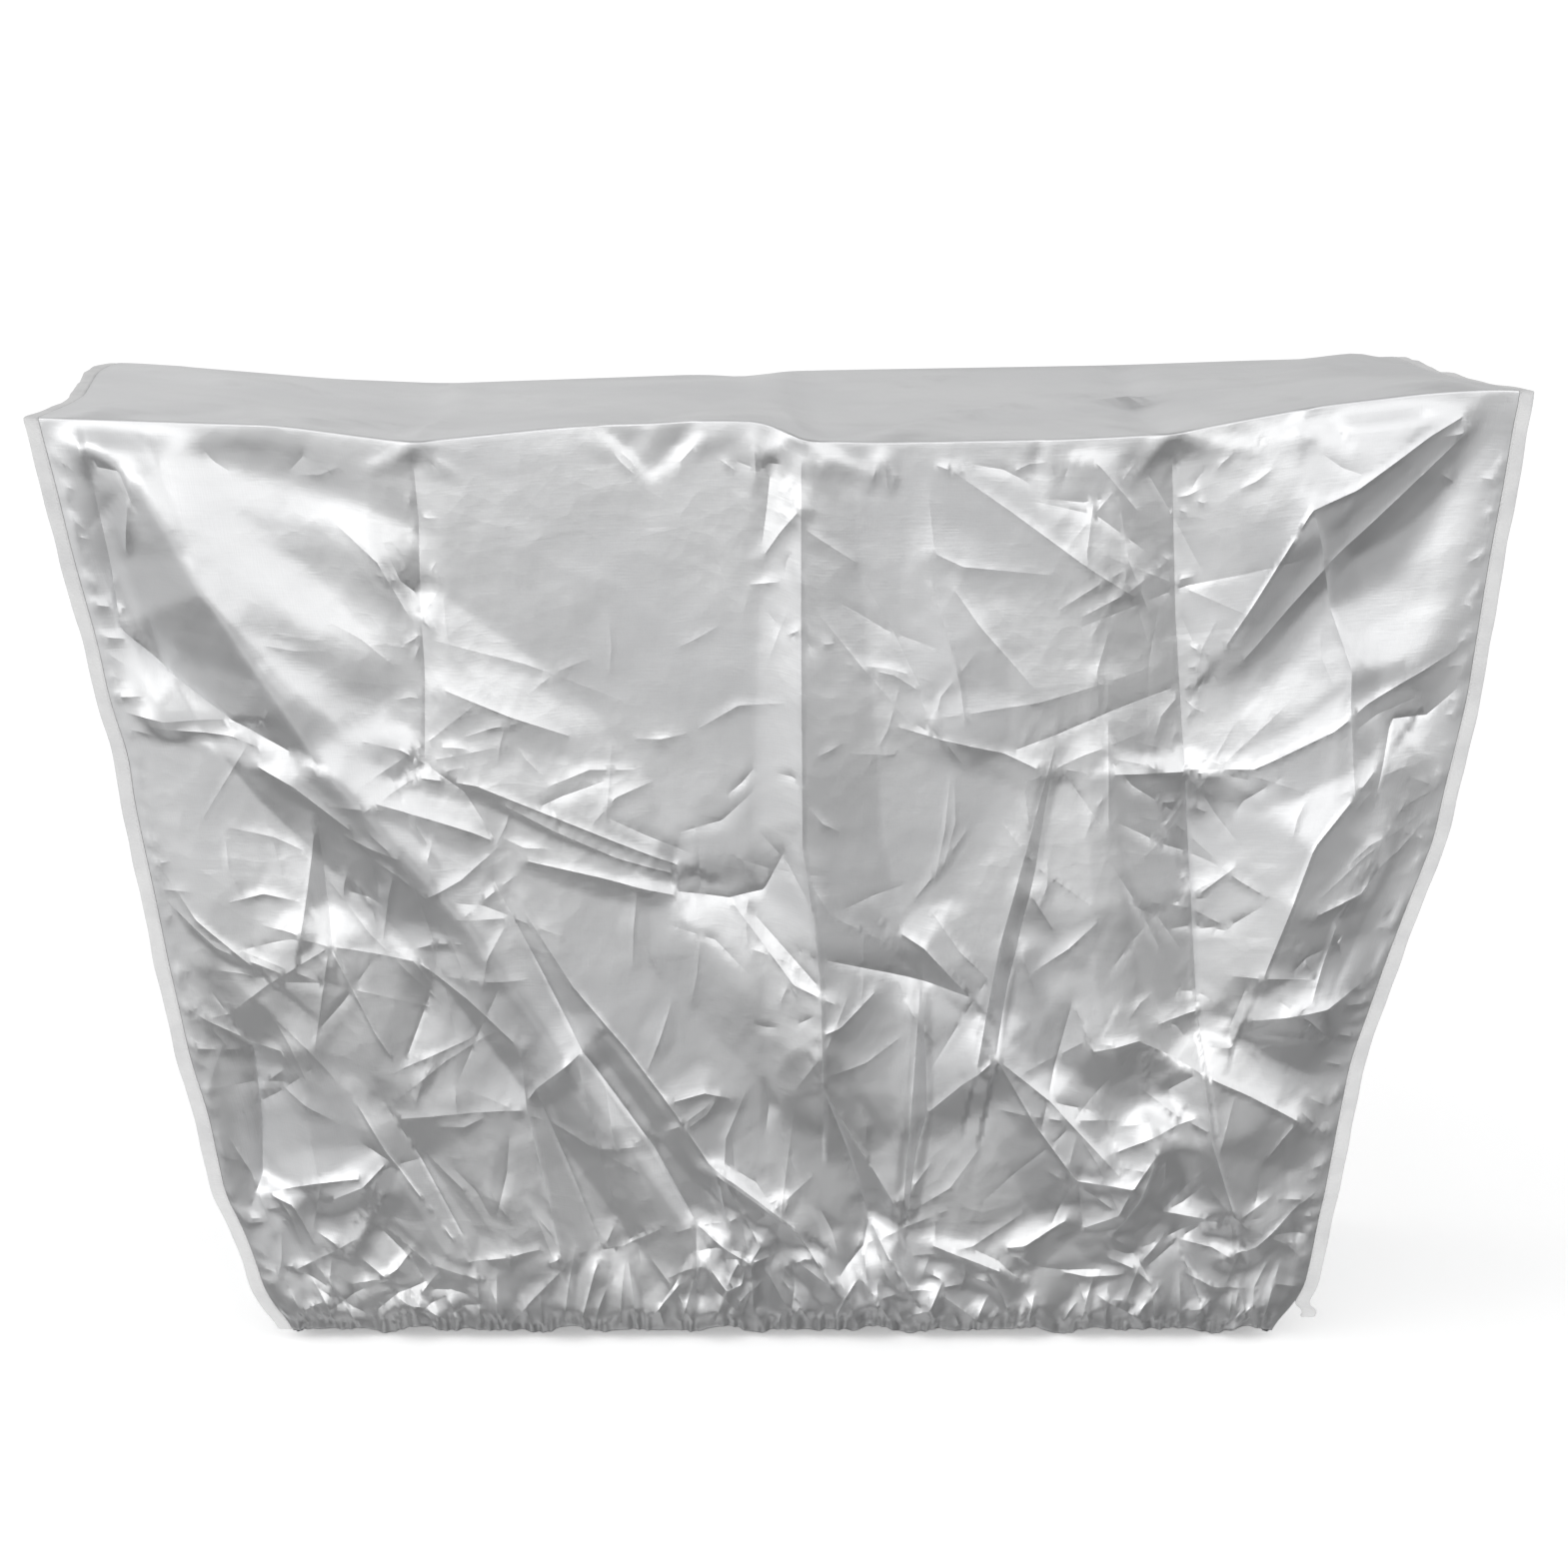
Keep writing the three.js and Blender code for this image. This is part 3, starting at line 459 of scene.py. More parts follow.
# puckers that start on the front fold, with heights measured from it
fold_puckers = [
    crease(-2.5, 16, 14, [(-108, 3), (-92, -12), (-78, -26)], 1, (0.1, 1, 0.3)),
    crease(-2.5, 14, 16, [(-50, 3), (-62, -12), (-78, -26)], 1, (0.1, 1, 0.3)),
    crease(2.2, 9, 12, [(9, 3), (26, -9), (52, -19)], 0.6, (1, 1, 0.2)),
    crease(2.2, 9, 10, [(9, 3), (17, -12), (30, -28)], 0.6, (1, 1, 0.2)),
    crease(2.2, 10, 9, [(9, 3), (-3, -10), (-18, -24)], 0.6, (1, 1, 0.2)),
    crease(2, 10, 9, [(-213, 3), (-226, -10), (-244, -18)], 0.6, (1, 1, 0.2)),
    crease(2, 9, 10, [(-213, 3), (-203, -12), (-190, -22)], 0.6, (1, 0.8, 0.2)),
    crease(2.2, 10, 9, [(225, 3), (214, -12), (200, -28)], 0.6, (1, 1, 0.2)),
    crease(2.2, 9, 12, [(225, 3), (242, -8), (270, -16)], 0.6, (1, 1, 0.2)),
    crease(-2, 10, 10, [(150, 3), (146, -14), (150, -34)], 0.8, (0.1, 1, 0.2)),
    crease(1.8, 8, 8, [(305, 3), (298, -10), (300, -26)], 0.6, (1, 1, 0.2)),
]
front_seams = (
    seam_puckers(lambda z: -look(z, front_edge, "z", "left"), -560, -20, 1, 1.3)
    + seam_puckers(lambda z: look(z, front_edge, "z", "right"), -560, -10, -1, 1.2)
)
front_gathers = hem_gathers(58, -300, 300, lambda x: hem_height + 3, 7)

back_folds = [
    crease(15, 60, 60, [(-420, -14), (-330, -150), (-220, -300), (-140, -420)], 8, (0.3, 1, 0.4)),
    crease(15, 60, 60, [(385, -14), (310, -130), (230, -290), (160, -410)], 8, (0.3, 1, 0.4)),
    crease(8, 40, 40, [(-215, -12), (-213, -280)], 1, (0.4, 1, 0.4)),
    crease(8, 50, 50, [(8, -12), (12, -390)], 1, (0.4, 1, 0.4)),
    crease(-9, 45, 45, [(225, -12), (228, -260)], 1, (0.4, 1, 0.4)),
    crease(-12, 40, 40, [(-60, -360), (-20, -440), (30, -500)], 2, (0.4, 1, 0.6)),
    crease(12, 26, 26, [(-250, -380), (-230, -500)], 1, (0.4, 1)),
    crease(12, 26, 26, [(250, -390), (240, -500)], 1, (0.4, 1)),
    crease(7, 40, 26, [(-340, -60), (-180, -120), (-60, -210)], 6, (0.3, 1, 0.2)),
    crease(8, 30, 30, [(60, -150), (130, -260), (150, -340)], 3, (0.2, 1, 0.3)),
    crease(-8, 30, 26, [(-120, -230), (-60, -300), (40, -330)], 2, (0.3, 1, 0.3)),
]
back_small = (
    small_folds(60, (-330, 320), (-540, -300), (1, 2.4), (30, 110), (10, 20))
    + small_folds(40, (-360, 340), (-300, -40), (0.6, 1.6), (30, 110), (10, 20))
)
back_gathers = hem_gathers(34, -296, 296, lambda x: hem_height, 7)

top_folds = [
    crease(4, 16, 22, [(-214, -142), (-206, 0), (-212, 142)], 1, (1, 0.6, 0.8)),
    crease(5, 26, 16, [(10, -146), (-2, 0), (-4, 142)], 1, (1, 1, 0.9)),
    crease(-4, 24, 30, [(226, -146), (214, -10), (220, 142)], 1.5, (1, 0.8, 0.8)),
    crease(4, 20, 24, [(214, -10), (262, -20), (330, 10)], 1.5, (1, 0.7, 0.1)),
    crease(3, 14, 20, [(150, 30), (186, 10), (214, -10)], 1, (0.2, 1, 0.8)),
    crease(5, 26, 20, [(-337, -148), (-290, -120), (-238, -92), (-190, -96)], 1.5, (0.3, 1, 0.2)),
    crease(4, 30, 30, [(-410, -140), (-350, -60), (-330, 60), (-400, 140)], 10, (1, 0.6, 1)),
    crease(5, 40, 40, [(395, -140), (330, -40), (340, 60), (380, 140)], 12, (1, 0.6, 1)),
    crease(4, 24, 30, [(60, -142), (110, -40), (190, 30)], 3, (1, 0.7, 0)),
    crease(-4, 24, 24, [(-90, -142), (-60, -40), (-20, 60)], 3, (1, 0.7, 0)),
]
top_small = small_folds(46, (-380, 370), (-135, 135), (0.8, 2), (20, 60), (8, 18))


def swell(x, z, count, low, high, amount, start):
    """Slow, uneven swelling of a sheet: crossed waves of many lengths and directions."""
    own = np.random.default_rng(start)
    total = np.zeros(x.shape)
    for _ in range(count):
        turn = own.uniform(0, math.pi)
        pitch = own.uniform(low, high)
        phase = own.uniform(0, 2 * math.pi)
        total += np.sin(2 * math.pi * (x * math.cos(turn) + z * math.sin(turn)) / pitch + phase)
    return amount * total / math.sqrt(count)


def face_base(edge, height, phase, across, share):
    """A face without its folds: place across, depth and height, and its foot's and head's heights."""
    reach = np.where(across < 0, look(0, edge, "z", "left"), look(0, edge, "z", "right"))
    head = look(across * reach, upper_fold, "x", height, 12) - fold_radius
    foot = hem_height + hem_wave_height * wave(across / 2 + phase)
    ends = []
    for end, column in ((-1, "left"), (1, "right")):
        end_head = look(end * look(0, edge, "z", column), upper_fold, "x", height, 12)
        end_foot = hem_height + hem_wave_height * wave(end / 2 + phase)
        ends.append(end * look(end_foot + (end_head - end_foot) * share, edge, "z", column, 9))
    x = ends[0] + (ends[1] - ends[0]) * (across + 1) / 2
    z = foot + (head - foot) * share
    depth = half_depth - (half_depth - hem_half_depth) * (1 - share) ** 3
    return x, depth, z, foot, head


def face(sign, edge, height, phase, folds, small, across, share, crisp):
    """A face with its folds, gathers, hem band and the curl of the hem, as x, y and z."""
    across, share = np.broadcast_arrays(across, share)
    x, depth, z, foot, head = face_base(edge, height, phase, across, np.maximum(share, 0))
    on_crest, pinch = np.zeros(x.shape), 0
    if crisp:
        x, z, on_crest, pinch = snap(folds + small, x.copy(), z.copy())
    edge_room = np.maximum(0, 1 - np.abs(across)) * hem_half_width
    fade = ease(edge_room / seam_fade) * ease((head - z) / fold_fade)
    above = z - foot
    band = ease((elastic_height + 2.5 * np.sin(x * 0.05) + 2 * np.sin(x * 0.13 + 1) - above) / 6)
    rise = relief(folds, x, z) * ease(above / 22 + 0.2) + pinch
    rise = rise + swell(x, z, 9, 120, 300, 0.8, 7)
    puff = 3 * ease(above / 18) * ease((80 - above) / 60)
    gather = hem_wave_height * wave(across / 2 + phase) * ease(1 - above / gather_height)
    tight = 1.1 * np.sin(x * 0.74 + 2.2 * np.sin(x * 0.21)) + np.sin(x * 0.43 + 1.7 * np.sin(x * 0.13 + 2))
    close = relief(small, x, z) * ease(edge_room / 3) * ease((head - z) / 8)
    out = fade * (rise + gather) + close * (1 - 0.5 * band) + ease(edge_room / 8) * (puff + tight * band)
    if sign < 0:
        out = out + relief(fold_puckers, x, z - head)
    curl = np.maximum(0, -share)
    z = z + np.interp(curl, [0, 1, 2, 3], [0, -1.5, -0.5, 5])
    out = out - np.interp(curl, [0, 1, 2, 3], [0, 2.5, 6, 9])
    return x, sign * (depth + out), z, on_crest


def corner(sign, edge, height, phase, across, share):
    """The rounded edge between a face and the top."""
    x, _, _, _, head = face_base(edge, height, phase, across, np.ones(1))
    turn = math.pi / 2 * share
    out = fold_radius + (relief(fold_puckers, x, 0 * x) if sign < 0 else 0 * x)
    y = sign * (half_depth - fold_radius + out * np.cos(turn))
    return x + 0 * turn, y, head + fold_radius * np.sin(turn), 0 * y


front = (front_edge, "front", 0.0)
back = (back_edge, "back", 0.37)


def top(across, share):
    from_x, from_y, from_z, _ = corner(-1, *front, across, 1.0)
    to_x, to_y, to_z, _ = corner(1, *back, across, 1.0)
    swing = np.where(across < 0, look(share, top_swing, "share", "left"),
                     look(share, top_swing, "share", "right"))
    x = from_x + (to_x - from_x) * share + across * swing
    y = from_y + (to_y - from_y) * share
    sag = top_sag * np.sin(math.pi * share) * (1 - across**2)
    edge_room = np.maximum(0, 1 - np.abs(across)) * hem_half_width
    x, y, across, share = np.broadcast_arrays(x, y, across, share)
    out = relief(top_folds + top_small, x, y) + swell(x, y, 8, 80, 240, 0.8, 9)
    rim = ease(edge_room / 22) * ease(np.minimum(share, 1 - share) / 0.08)
    z = from_z + (to_z - from_z) * share - sag + out * rim
    return x, y, z, 0 * z


def rows_of(across, front_rows, top_rows, back_rows, crisp):
    """Points of the long cloth from the front hem over the top to the back hem, as rows x columns x 4.
    The fourth number is a crisp fold's own on its crest, else 0."""
    parts = []
    across = across[None, :]
    if front_rows is not None:
        parts.append(face(-1, *front, front_folds, front_small + front_seams + front_gathers, across,
                          front_rows[:, None], crisp))
        parts.append(corner(-1, *front, across, np.linspace(0, 1, 7)[:-1, None]))
    parts.append(top(across, top_rows[:, None]))
    if back_rows is not None:
        parts.append(corner(1, *back, across, np.linspace(1, 0, 6)[1:-1, None]))
        parts.append(face(1, *back, back_folds, back_small + back_gathers, across, back_rows[:, None],
                          False))
    return np.concatenate([np.stack(np.broadcast_arrays(*part), -1) for part in parts])


mm_per_metre = 1000


def sheet_mesh(name, points, faces, uv):
    """A smooth mesh from millimetre points, with its cloth coordinates in metres."""
    mesh = bpy.data.meshes.new(name)
    placed = (points[:, :3] + [0, 0, corner_height]) / mm_per_metre
    mesh.from_pydata(placed.tolist(), [], faces)
    corners = np.zeros(len(mesh.loops), np.int32)
    mesh.loops.foreach_get("vertex_index", corners)
    layer = mesh.uv_layers.new(name="UVMap")
    layer.data.foreach_set("uv", (uv[corners] / mm_per_metre).astype(np.float32).ravel())
    mesh.polygons.foreach_set("use_smooth", np.ones(len(mesh.polygons), bool))
    if points.shape[1] > 3:
        ends = np.zeros(len(mesh.edges) * 2, np.int32)
        mesh.edges.foreach_get("vertices", ends)
        first, second = points[ends, 3].reshape(-1, 2).T
        mesh.edges.foreach_set("use_edge_sharp", (first == second) & (first > 0))
    mesh.update()
    piece = bpy.data.objects.new(name, mesh)
    bpy.context.scene.collection.objects.link(piece)
    return piece


def net_faces(points, first=0):
    """Triangles of a net. Each cell is cut along a crest, or else along its flatter diagonal."""
    rows, columns = points.shape[:2]
    at = first + np.arange(rows * columns).reshape(rows, columns)
    a, b, c, d = at[:-1, :-1], at[:-1, 1:], at[1:, 1:], at[1:, :-1]
    depth = points[..., 1]
    crest = points[..., 3]
    first_crest = (crest[:-1, :-1] == crest[1:, 1:]) * np.sign(crest[1:, 1:])
    second_crest = (crest[:-1, 1:] == crest[1:, :-1]) * np.sign(crest[1:, :-1])
    first_way = np.abs(depth[:-1, :-1] - depth[1:, 1:]) - 9 * first_crest
    second_way = np.abs(depth[:-1, 1:] - depth[1:, :-1]) - 9 * second_crest
    flat = first_way < second_way
    one = np.stack([a, b, np.where(flat, c, d)], -1).reshape(-1, 3)
    two = np.stack([np.where(flat, a, b), c, d], -1).reshape(-1, 3)
    return np.concatenate([one, two]).tolist()


cloth_half_width = 430


def cloth_run(points):
    """Cloth coordinates of a net: across it and along it from its first row."""
    step = np.linalg.norm(np.diff(points[:, points.shape[1] // 2, :3], axis=0), axis=1)
    along = np.concatenate([[0], np.cumsum(step)])
    across = np.linspace(-1, 1, points.shape[1]) * cloth_half_width
    return np.stack(np.broadcast_arrays(across[None, :], along[:, None]), -1).reshape(-1, 2)


# the front is a fine net, and the back and most of the top a coarse one, joined by a row of fans
fine_columns = 432
fine_rows = 180
coarse_rows = 100
fan = 4
coarse_columns = fine_columns // fan
fine_across = np.linspace(-1, 1, fine_columns + 1)
fine_face = np.concatenate([[-3, -2, -1], (np.arange(fine_rows) / fine_rows) ** 1.12])
coarse_shares = (coarse_rows - np.arange(coarse_rows + 1)) / coarse_rows
coarse_face = np.concatenate([coarse_shares ** 1.15, [-1, -2, -3]])
fine = rows_of(fine_across, fine_face, np.linspace(0, 0.3, 8), None, True)
coarse = rows_of(fine_across[::fan], None, np.linspace(0.35, 1, 12), coarse_face, False)
fine_count = fine.shape[0] * fine.shape[1]
last_row = fine_count - fine_columns - 1
join = [
    [last_row + fan * j + k for k in range(fan + 1)] + [fine_count + j + 1, fine_count + j]
    for j in range(coarse_columns)
]
body_faces = net_faces(fine) + join + net_faces(coarse, fine_count)
fine_uv = cloth_run(fine)
coarse_uv = cloth_run(coarse) + [0, fine_uv[:, 1].max() + 12]
body_points = np.concatenate([fine.reshape(-1, 4), coarse.reshape(-1, 4)])
body = sheet_mesh("body_cloth_visual", body_points, body_faces, np.concatenate([fine_uv, coarse_uv]))


class Value:
    """A number that a material works out, for use in sums."""

    def __init__(self, look, socket):
        self.look = look
        self.socket = socket

    def math(self, operation, *others):
        inputs = dict(enumerate([self, *others]))
        return self.look.node("ShaderNodeMath", {"operation": operation}, inputs)

    def __add__(self, other):
        return self.math("ADD", other)

    def __sub__(self, other):
        return self.math("SUBTRACT", other)

    def __mul__(self, other):
        return self.math("MULTIPLY", other)

    def __rsub__(self, other):
        return self.look.node("ShaderNodeMath", {"operation": "SUBTRACT"}, {0: other, 1: self})

    __radd__ = __add__
    __rmul__ = __mul__

    def between(self, low, high):
        """0 below low, 1 above high, and smooth between them."""
        return self.look.node("ShaderNodeMapRange", {"interpolation_type": "SMOOTHSTEP"},
                              {"Value": self, "From Min": low, "From Max": high})


class Look:
    """The node tree of one material or of the world."""

    def __init__(self, owner):
        owner.use_nodes = True
        self.tree = owner.node_tree
        self.tree.nodes.clear()

    def node(self, kind, settings, inputs, out=0):
        """Makes one node: settings first, then its sockets, from numbers, colours or other values."""
        node = self.tree.nodes.new(kind)
        for name, value in settings.items():
            setattr(node, name, value)
        for key, value in inputs.items():
            if isinstance(value, Value):
                self.tree.links.new(value.socket, node.inputs[key])
            else:
                node.inputs[key].default_value = value
        return Value(self, node.outputs[out]) if len(node.outputs) else None

    def mix(self, factor, first, second):
        return self.node("ShaderNodeMix", {"data_type": "RGBA"}, {0: factor, 6: first, 7: second}, 2)

    def cells(self, where, scale):
        """Cone-like cells with sharp borders: the small facets of crumpled cloth."""
        return self.node("ShaderNodeTexVoronoi", {}, {"Vector": where, "Scale": scale}, "Distance")

    def noise(self, where, scale, detail, rough=0.5):
        return self.node("ShaderNodeTexNoise", {},
                         {"Vector": where, "Scale": scale, "Detail": detail, "Roughness": rough})


dull_silver = (0.76, 0.765, 0.775, 1)
bright_silver = (0.84, 0.845, 0.85, 1)
rubbed_silver = (0.7, 0.7, 0.705, 1)


def silver_cloth(name, crinkle):
    """Thin woven cloth with an aluminium coating: metal sheen, faint threads, crumples, rubbed places."""
    material = bpy.data.materials.new(name)
    cloth = Look(material)
    place = cloth.node("ShaderNodeTexCoord", {}, {}, "UV")
    threads = cloth.node("ShaderNodeMapping", {}, {"Vector": place, "Scale": (1.0, 14.0, 1.0)})
    cross = cloth.node("ShaderNodeMapping", {}, {"Vector": place, "Scale": (14.0, 1.0, 1.0)})
    warp = cloth.noise(threads, 75.0, 1.0)
    weft = cloth.noise(cross, 75.0, 1.0)
    broad = cloth.noise(place, 7.0, 3.0)
    patch = cloth.noise(place, 24.0, 4.0, 0.6)
    facets = cloth.cells(place, 16.0) + cloth.cells(place, 37.0) * 0.42 + cloth.cells(place, 90.0) * 0.16
    worn = patch.between(0.6, 0.78)
    shade = cloth.mix(broad.between(0.3, 0.7), dull_silver, bright_silver)
    color = cloth.mix(worn * 0.3, shade, rubbed_silver)
    roughness = 0.25 + broad * 0.07 + worn * 0.07 + (warp + weft) * 0.04
    height = facets * (crinkle * (0.35 + broad.between(0.35, 0.65))) + (warp + weft) * 0.018 + patch * 0.1
    bump = cloth.node("ShaderNodeBump", {}, {"Strength": 0.8, "Distance": 0.003, "Height": height})
    skin = cloth.node("ShaderNodeBsdfPrincipled", {}, {
        "Base Color": color, "Metallic": 0.82, "Roughness": roughness, "Normal": bump})
    cloth.node("ShaderNodeOutputMaterial", {}, {"Surface": skin})
    return material


body.data.materials.append(silver_cloth("silver_cloth_body", 0.42))
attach(body, "root")
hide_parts("body_cloth")

# Side panels: each end is closed by its own panel of the same cloth, sewn to the long cloth's edge from
# the front hem over the top to the back hem. It bellies out a little and is gathered at its foot.


def seam_line(end):
    """The long cloth's edge from the front hem to the back hem, in three runs."""
    across = np.array([[float(end)]])
    share = np.linspace(0, 1, 160)[:, None]
    arc = np.linspace(0, 0.5, 5)[:, None]

    def line(place):
        return np.stack(np.broadcast_arrays(*place[:3]), -1)[:, 0]

    x, depth, z, _, _ = face_base(*front, across, share)
    up = [line((x, -depth, z)), line(corner(-1, *front, across, arc[1:]))]
    x, depth, z, _, _ = face_base(*back, across, share)
    behind = [line((x, depth, z)), line(corner(1, *back, across, arc[1:]))]
    over = [line(corner(-1, *front, across, 0.5 + arc)),
            line(top(across, np.linspace(0, 1, 40)[1:-1, None])),
            line(corner(1, *back, across, 1 - arc))]
    return np.concatenate(up), np.concatenate(over), np.concatenate(behind)


def resample(points, count):
    """The same line with evenly spaced points."""
    run = np.concatenate([[0], np.cumsum(np.linalg.norm(np.diff(points, axis=0), axis=1))])
    at = np.linspace(0, run[-1], count)
    return np.stack([np.interp(at, run, points[:, k]) for k in range(3)], -1)


side_folds = {
    -1: [
        crease(26, 60, 60, [(-70, -340), (-50, -415), (-60, -470)], 14, (0.3, 1, 0.4)),
        crease(8, 34, 34, [(-120, -40), (-60, -190), (10, -330)], 5, (0.4, 1, 0.4)),
        crease(-8, 30, 30, [(110, -60), (60, -220), (20, -400)], 3, (0.4, 1, 0.5)),
        crease(7, 24, 24, [(90, -300), (70, -420), (60, -520)], 2, (0.3, 1, 0.6)),
    ],
    1: [
        crease(8, 34, 34, [(-110, -50), (-50, -200), (-10, -340)], 5, (0.4, 1, 0.4)),
        crease(-9, 30, 30, [(100, -60), (50, -220), (10, -390)], 3, (0.4, 1, 0.5)),
        crease(8, 26, 26, [(-70, -330), (-60, -430), (-50, -520)], 2, (0.3, 1, 0.6)),
        crease(7, 24, 24, [(90, -280), (70, -400), (70, -510)], 2, (0.3, 1, 0.6)),
    ],
}


side_bulge = 20
foot_inset = 18


def side_seam(z):
    """How far from the middle a side panel's two seams lie at a height."""
    return half_depth - foot_inset * (z / hem_height) ** 3


def side_panel(name, end):
    up, over, behind = seam_line(end)
    rows, columns = 200, 110
    front_line = resample(up, rows)[:, None]
    back_line = resample(behind, rows)[:, None]
    top_line = resample(over, columns)[None]
    across = np.linspace(0, 1, columns)[None, :, None]
    height = np.linspace(0, 1, rows)[:, None, None]
    between = front_line + (back_line - front_line) * across
    straight = top_line[:, :1] + (top_line[:, -1:] - top_line[:, :1]) * across
    between = between + (top_line - straight) * height
    y, z = between[..., 1], between[..., 2]
    share = np.broadcast_to(across[..., 0], y.shape)
    level = np.broadcast_to(height[..., 0], y.shape)
    inside = np.sin(math.pi * share)
    small = small_folds(50, (-120, 120), (-540, -60), (0.5, 1.4), (30, 90), (6, 14))
    small += hem_gathers(19, -112, 112, lambda x: hem_height + 3, 5)
    small += seam_puckers(lambda z: -side_seam(z), -550, -30, 1, 1.3)
    small += seam_puckers(side_seam, -550, -30, -1, 1.3)
    out = side_bulge * inside * np.sin(math.pi * level) ** 0.8
    out = out + 6 * inside * np.sin(5.2 * math.pi * share + 2 * level) * (1 - level)
    out = out + 7 * inside * np.sin(2 * math.pi * (share + 1.3 * level)) * ease(1.6 * (1 - level))
    rim = ease(np.minimum(share, 1 - share) / 0.06) * ease((1 - level) / 0.04)
    out = out + rim * (relief(side_folds[end], y, z) + swell(y, z, 8, 70, 200, 0.8, 12 + end))
    out = out + ease(np.minimum(share, 1 - share) / 0.01) * ease((1 - level) / 0.03) * relief(small, y, z)
    above = z - hem_height
    out = out + 3.5 * inside**0.5 * ease(above / 14) * ease((70 - above) / 50)
    out = out + ease((15 - above) / 7) * inside**0.3 * 1.6 * np.sin(y * 1.13 + 2.2 * np.sin(y * 0.21))
    points = between.copy()
    points[..., 0] += end * (out - 1.2)
    curl = [points[:1] + [-end * inward, 0, up_by] for inward, up_by in ((8, 5), (5, -0.5), (2, -1.5))]
    points = np.concatenate([*curl, points])
    if end < 0:
        points = points[:, ::-1]
    piece = sheet_mesh(name, points.reshape(-1, 3), side_faces(points), cloth_run(points) * [0.36, 1])
    piece.data.materials.append(silver_cloth("silver_" + name, 0.5))
    return piece


def side_faces(points):
    return net_faces(np.concatenate([points[..., [1, 0, 2]], 0 * points[..., :1]], -1))


for end, side in ((-1, "left"), (1, "right")):
    panel = side_panel(f"side_panel_{side}_visual", end)
    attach(panel, "root")
    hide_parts(f"side_panel_{side}")

# Bindings: the two seams' raw edges stand out sideways as a flange, closed in pale woven tape that is
# folded over them and stitched along its inner edge. It waves a little. The right one has a loose tail.


tail_length = 26
tape_flat_width = 22


def binding(name, end):
    up, over, behind = seam_line(end)
    line = resample(np.concatenate([up, over[1:-1], behind[::-1]]), 460)
    run = np.concatenate([[0], np.cumsum(np.linalg.norm(np.diff(line, axis=0), axis=1))])
    step = np.gradient(line, axis=0)
    outward = np.stack([0 * step[:, 0], -step[:, 2], step[:, 1]], -1)
    outward /= np.linalg.norm(outward, axis=1)[:, None]
    section = {
        "across": [0.3, 1.2, 2.4, 5.0, 7.6, 8.8, 9.3, 8.8, 7.6, 5.0, 2.4, 1.2, 0.3],
        "rise": [0.6, 1.0, 0.75, 0.9, 0.85, 0.6, 0, -0.6, -0.85, -0.9, -0.75, -1.0, -0.6],
    }
    flutter = 0.7 * np.sin(run / 27 + 1.7 * np.sin(run / 61)) + 0.3 * np.sin(run / 9.1 + end)
    width = 1 + 0.03 * np.sin(run / 17.3 + 2 * np.sin(run / 41)) + 0.015 * np.sin(run / 4.9)
    tail = ease(1 - run / tail_length) if end > 0 else 0 * run
    flare = 17 * tail
    drop = 8 * tail
    points = []
    for across, rise in zip(section["across"], section["rise"]):
        far = np.array(across * width)
        place = line + outward * (rise - 1.0 + flutter * far / 9)[:, None]
        place[:, 0] += end * (far + flare)
        place[:, 2] += drop
        points.append(place)
    points = np.stack(points, 1)
    if end < 0:
        points = points[:, ::-1]
    across = np.linspace(0, tape_flat_width, points.shape[1])
    uv = np.stack(np.broadcast_arrays(across[None, :], run[:, None]), -1).reshape(-1, 2)
    piece = sheet_mesh(name, points.reshape(-1, 3), side_faces(points), uv)
    piece.data.materials.append(binding_tape("tape_" + name))
    return piece


pale_tape = (0.66, 0.66, 0.66, 1)
grimy_tape = (0.58, 0.58, 0.585, 1)
thread_white = (0.68, 0.68, 0.68, 1)


def binding_tape(name):
    """Matt pale tape: fine ribs across, a line of stitches near its inner edges, and slight grime."""
    material = bpy.data.materials.new(name)
    tape = Look(material)
    place = tape.node("ShaderNodeTexCoord", {}, {}, "UV")
    across = tape.node("ShaderNodeSeparateXYZ", {}, {"Vector": place}, "X")
    along = tape.node("ShaderNodeSeparateXYZ", {}, {"Vector": place}, "Y")
    ribs = (along * 5200.0).math("SINE")
    stitch = (along * 2100.0).math("SINE").between(-0.3, 0.2)
    from_middle = (across - tape_flat_width / 2 / mm_per_metre).math("ABSOLUTE")
    row = 1.0 - (from_middle - 0.0088).math("ABSOLUTE").between(0.0002, 0.0006)
    thread = row * stitch
    grime = tape.noise(place, 40.0, 4.0)
    plain = tape.mix(grime.between(0.35, 0.75), pale_tape, grimy_tape)
    color = tape.mix(thread * 0.5, plain, thread_white)
    height = ribs * 0.12 + grime * 0.5 - row * (1.0 - stitch) * 0.6 + thread * 0.5
    bump = tape.node("ShaderNodeBump", {}, {"Strength": 0.5, "Distance": 0.0006, "Height": height})
    skin = tape.node("ShaderNodeBsdfPrincipled", {}, {
        "Base Color": color, "Roughness": 0.75, "Sheen Weight": 0.15, "Normal": bump})
    tape.node("ShaderNodeOutputMaterial", {}, {"Surface": skin})
    return material


for end, side in ((-1, "left"), (1, "right")):
    tape = binding(f"binding_{side}_visual", end)
    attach(tape, "root")
    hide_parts(f"binding_{side}")

# Floor, light and camera: the cover stands on a plain pale floor in a bright studio, and is seen from
# the front and a little above.

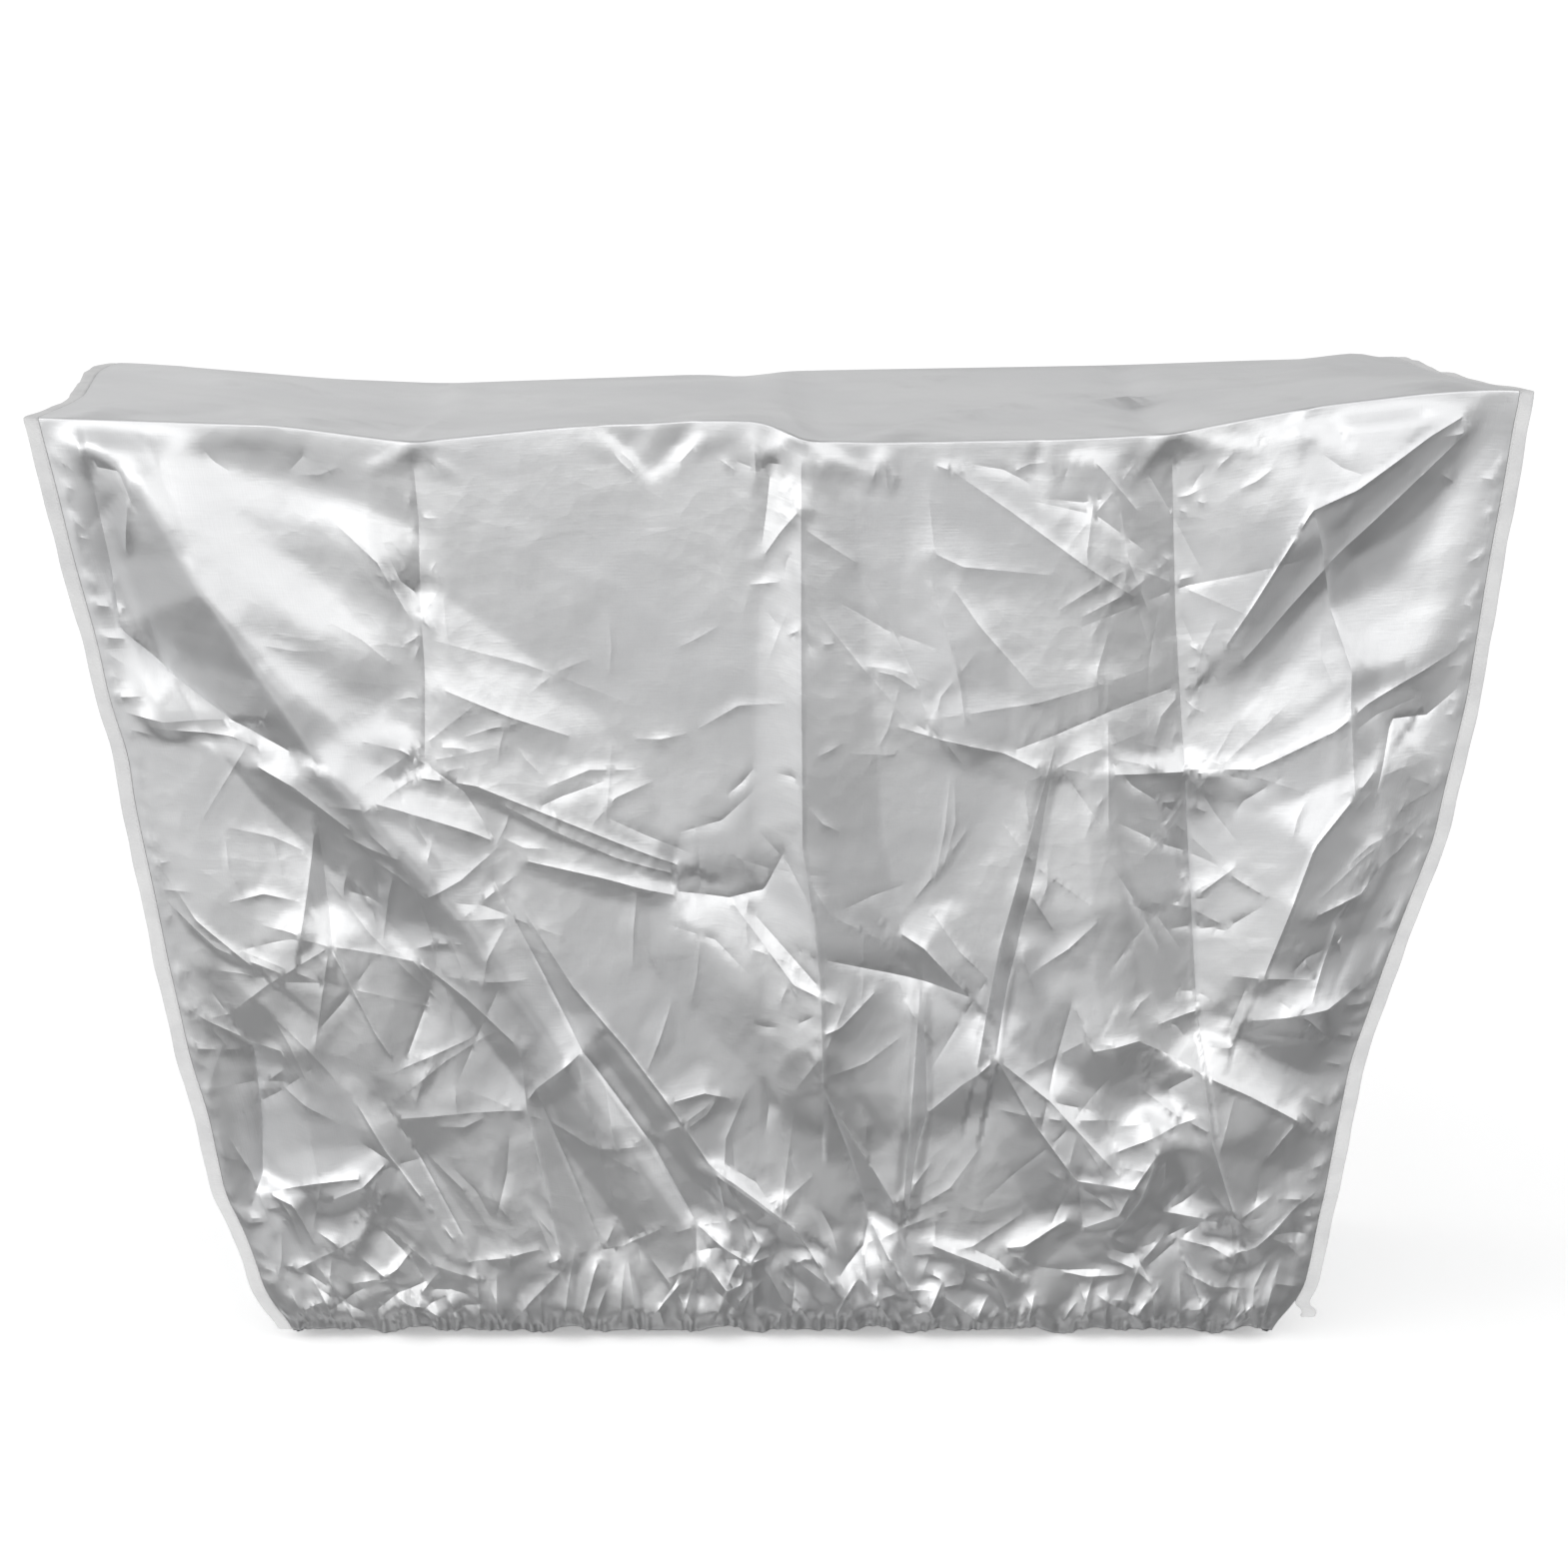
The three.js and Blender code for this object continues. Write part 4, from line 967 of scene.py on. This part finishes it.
lowest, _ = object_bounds()
floor_height = lowest.z - 0.001
floor_mesh = bpy.data.meshes.new("floor")
floor_reach = 4
floor_corners = [(floor_reach * across, floor_reach * along, floor_height)
                 for across, along in ((-1, -1), (1, -1), (1, 1), (-1, 1))]
floor_mesh.from_pydata(floor_corners, [], [(0, 1, 2, 3)])
floor = bpy.data.objects.new("floor", floor_mesh)
bpy.context.scene.collection.objects.link(floor)
floor_paint = bpy.data.materials.new("floor_paint")
paint = Look(floor_paint)
matt = paint.node("ShaderNodeBsdfPrincipled", {}, {
    "Base Color": (0.9, 0.9, 0.9, 1), "Roughness": 0.9,
    "Emission Color": (1, 1, 1, 1), "Emission Strength": 0.35})
paint.node("ShaderNodeOutputMaterial", {}, {"Surface": matt})
floor.data.materials.append(floor_paint)
floor.visible_glossy = False

world = bpy.data.worlds.new("studio")
bpy.context.scene.world = world
sky = Look(world)
way = sky.node("ShaderNodeTexCoord", {}, {}, "Generated")
way_x = sky.node("ShaderNodeSeparateXYZ", {}, {"Vector": way}, "X")
way_y = sky.node("ShaderNodeSeparateXYZ", {}, {"Vector": way}, "Y")
way_z = sky.node("ShaderNodeSeparateXYZ", {}, {"Vector": way}, "Z")
# the studio as the coating mirrors it, by direction: light from below the horizon and from above it, dark
# overhead and behind the cover, bright on the left, dim on the right, and a dark patch low on the left
from_below = way_z.between(-0.76, -0.35) * 0.45 + (1.0 - way_z.between(-0.97, -0.8)) * 0.25
from_above = way_z.between(-0.14, 0.26) * 0.83
overhead = way_z.between(0.28, 0.8) * 0.75
behind_it = way_y.between(0.2, 0.9) * way_z.between(-0.02, 0.12) * 0.62
sidelong = 1.42 - way_x.between(-0.7, 0.7) * (0.94 - way_z.between(-0.1, 0.35) * 0.45)
sidelong = sidelong + way_x.between(0.75, 0.97) * 0.4 - (1.0 - way_x.between(-0.97, -0.75)) * 0.35
low_left = (1.0 - way_x.between(-0.7, -0.3)) * (1.0 - way_z.between(-0.62, -0.3)) * 0.3
glow = (0.03 + from_below + from_above - behind_it - overhead) * sidelong * (1.0 - low_left)
plain_glow = sky.node("ShaderNodeBackground", {}, {"Color": (1, 1, 1, 1), "Strength": 1.05})
shaped_glow = sky.node("ShaderNodeBackground", {}, {"Color": (1, 1, 1, 1), "Strength": glow})
is_camera = sky.node("ShaderNodeLightPath", {}, {}, "Is Camera Ray")
seen = sky.node("ShaderNodeMixShader", {}, {0: is_camera, 1: shaped_glow, 2: plain_glow})
sky.node("ShaderNodeOutputWorld", {}, {"Surface": seen})


def area_light(name, place, target, size, power):
    light = bpy.data.lights.new(name, "AREA")
    light.shape = "DISK"
    light.size = size
    light.energy = power
    lamp = bpy.data.objects.new(name, light)
    way_to = np.array(target) - np.array(place)
    lamp.location = place
    lamp.rotation_mode = "QUATERNION"
    lamp.rotation_quaternion = Vector(way_to).to_track_quat("-Z", "Y")
    bpy.context.scene.collection.objects.link(lamp)


area_light("key", (1.3, -1.9, 1.9), (0.1, 0, -0.25), 1.1, 4)
area_light("fill", (-1.7, -1.6, 1.0), (-0.1, 0, -0.3), 1.0, 1.5)

camera_data = bpy.data.cameras.new("camera")
camera_data.sensor_width = 36
camera_data.lens = 82.2
camera = bpy.data.objects.new("camera", camera_data)
camera.location = (0, -2.235, 0.228)
camera.rotation_euler = (math.radians(78.4), 0, 0)
bpy.context.scene.collection.objects.link(camera)
bpy.context.scene.camera = camera
bpy.context.scene.view_settings.view_transform = "Standard"
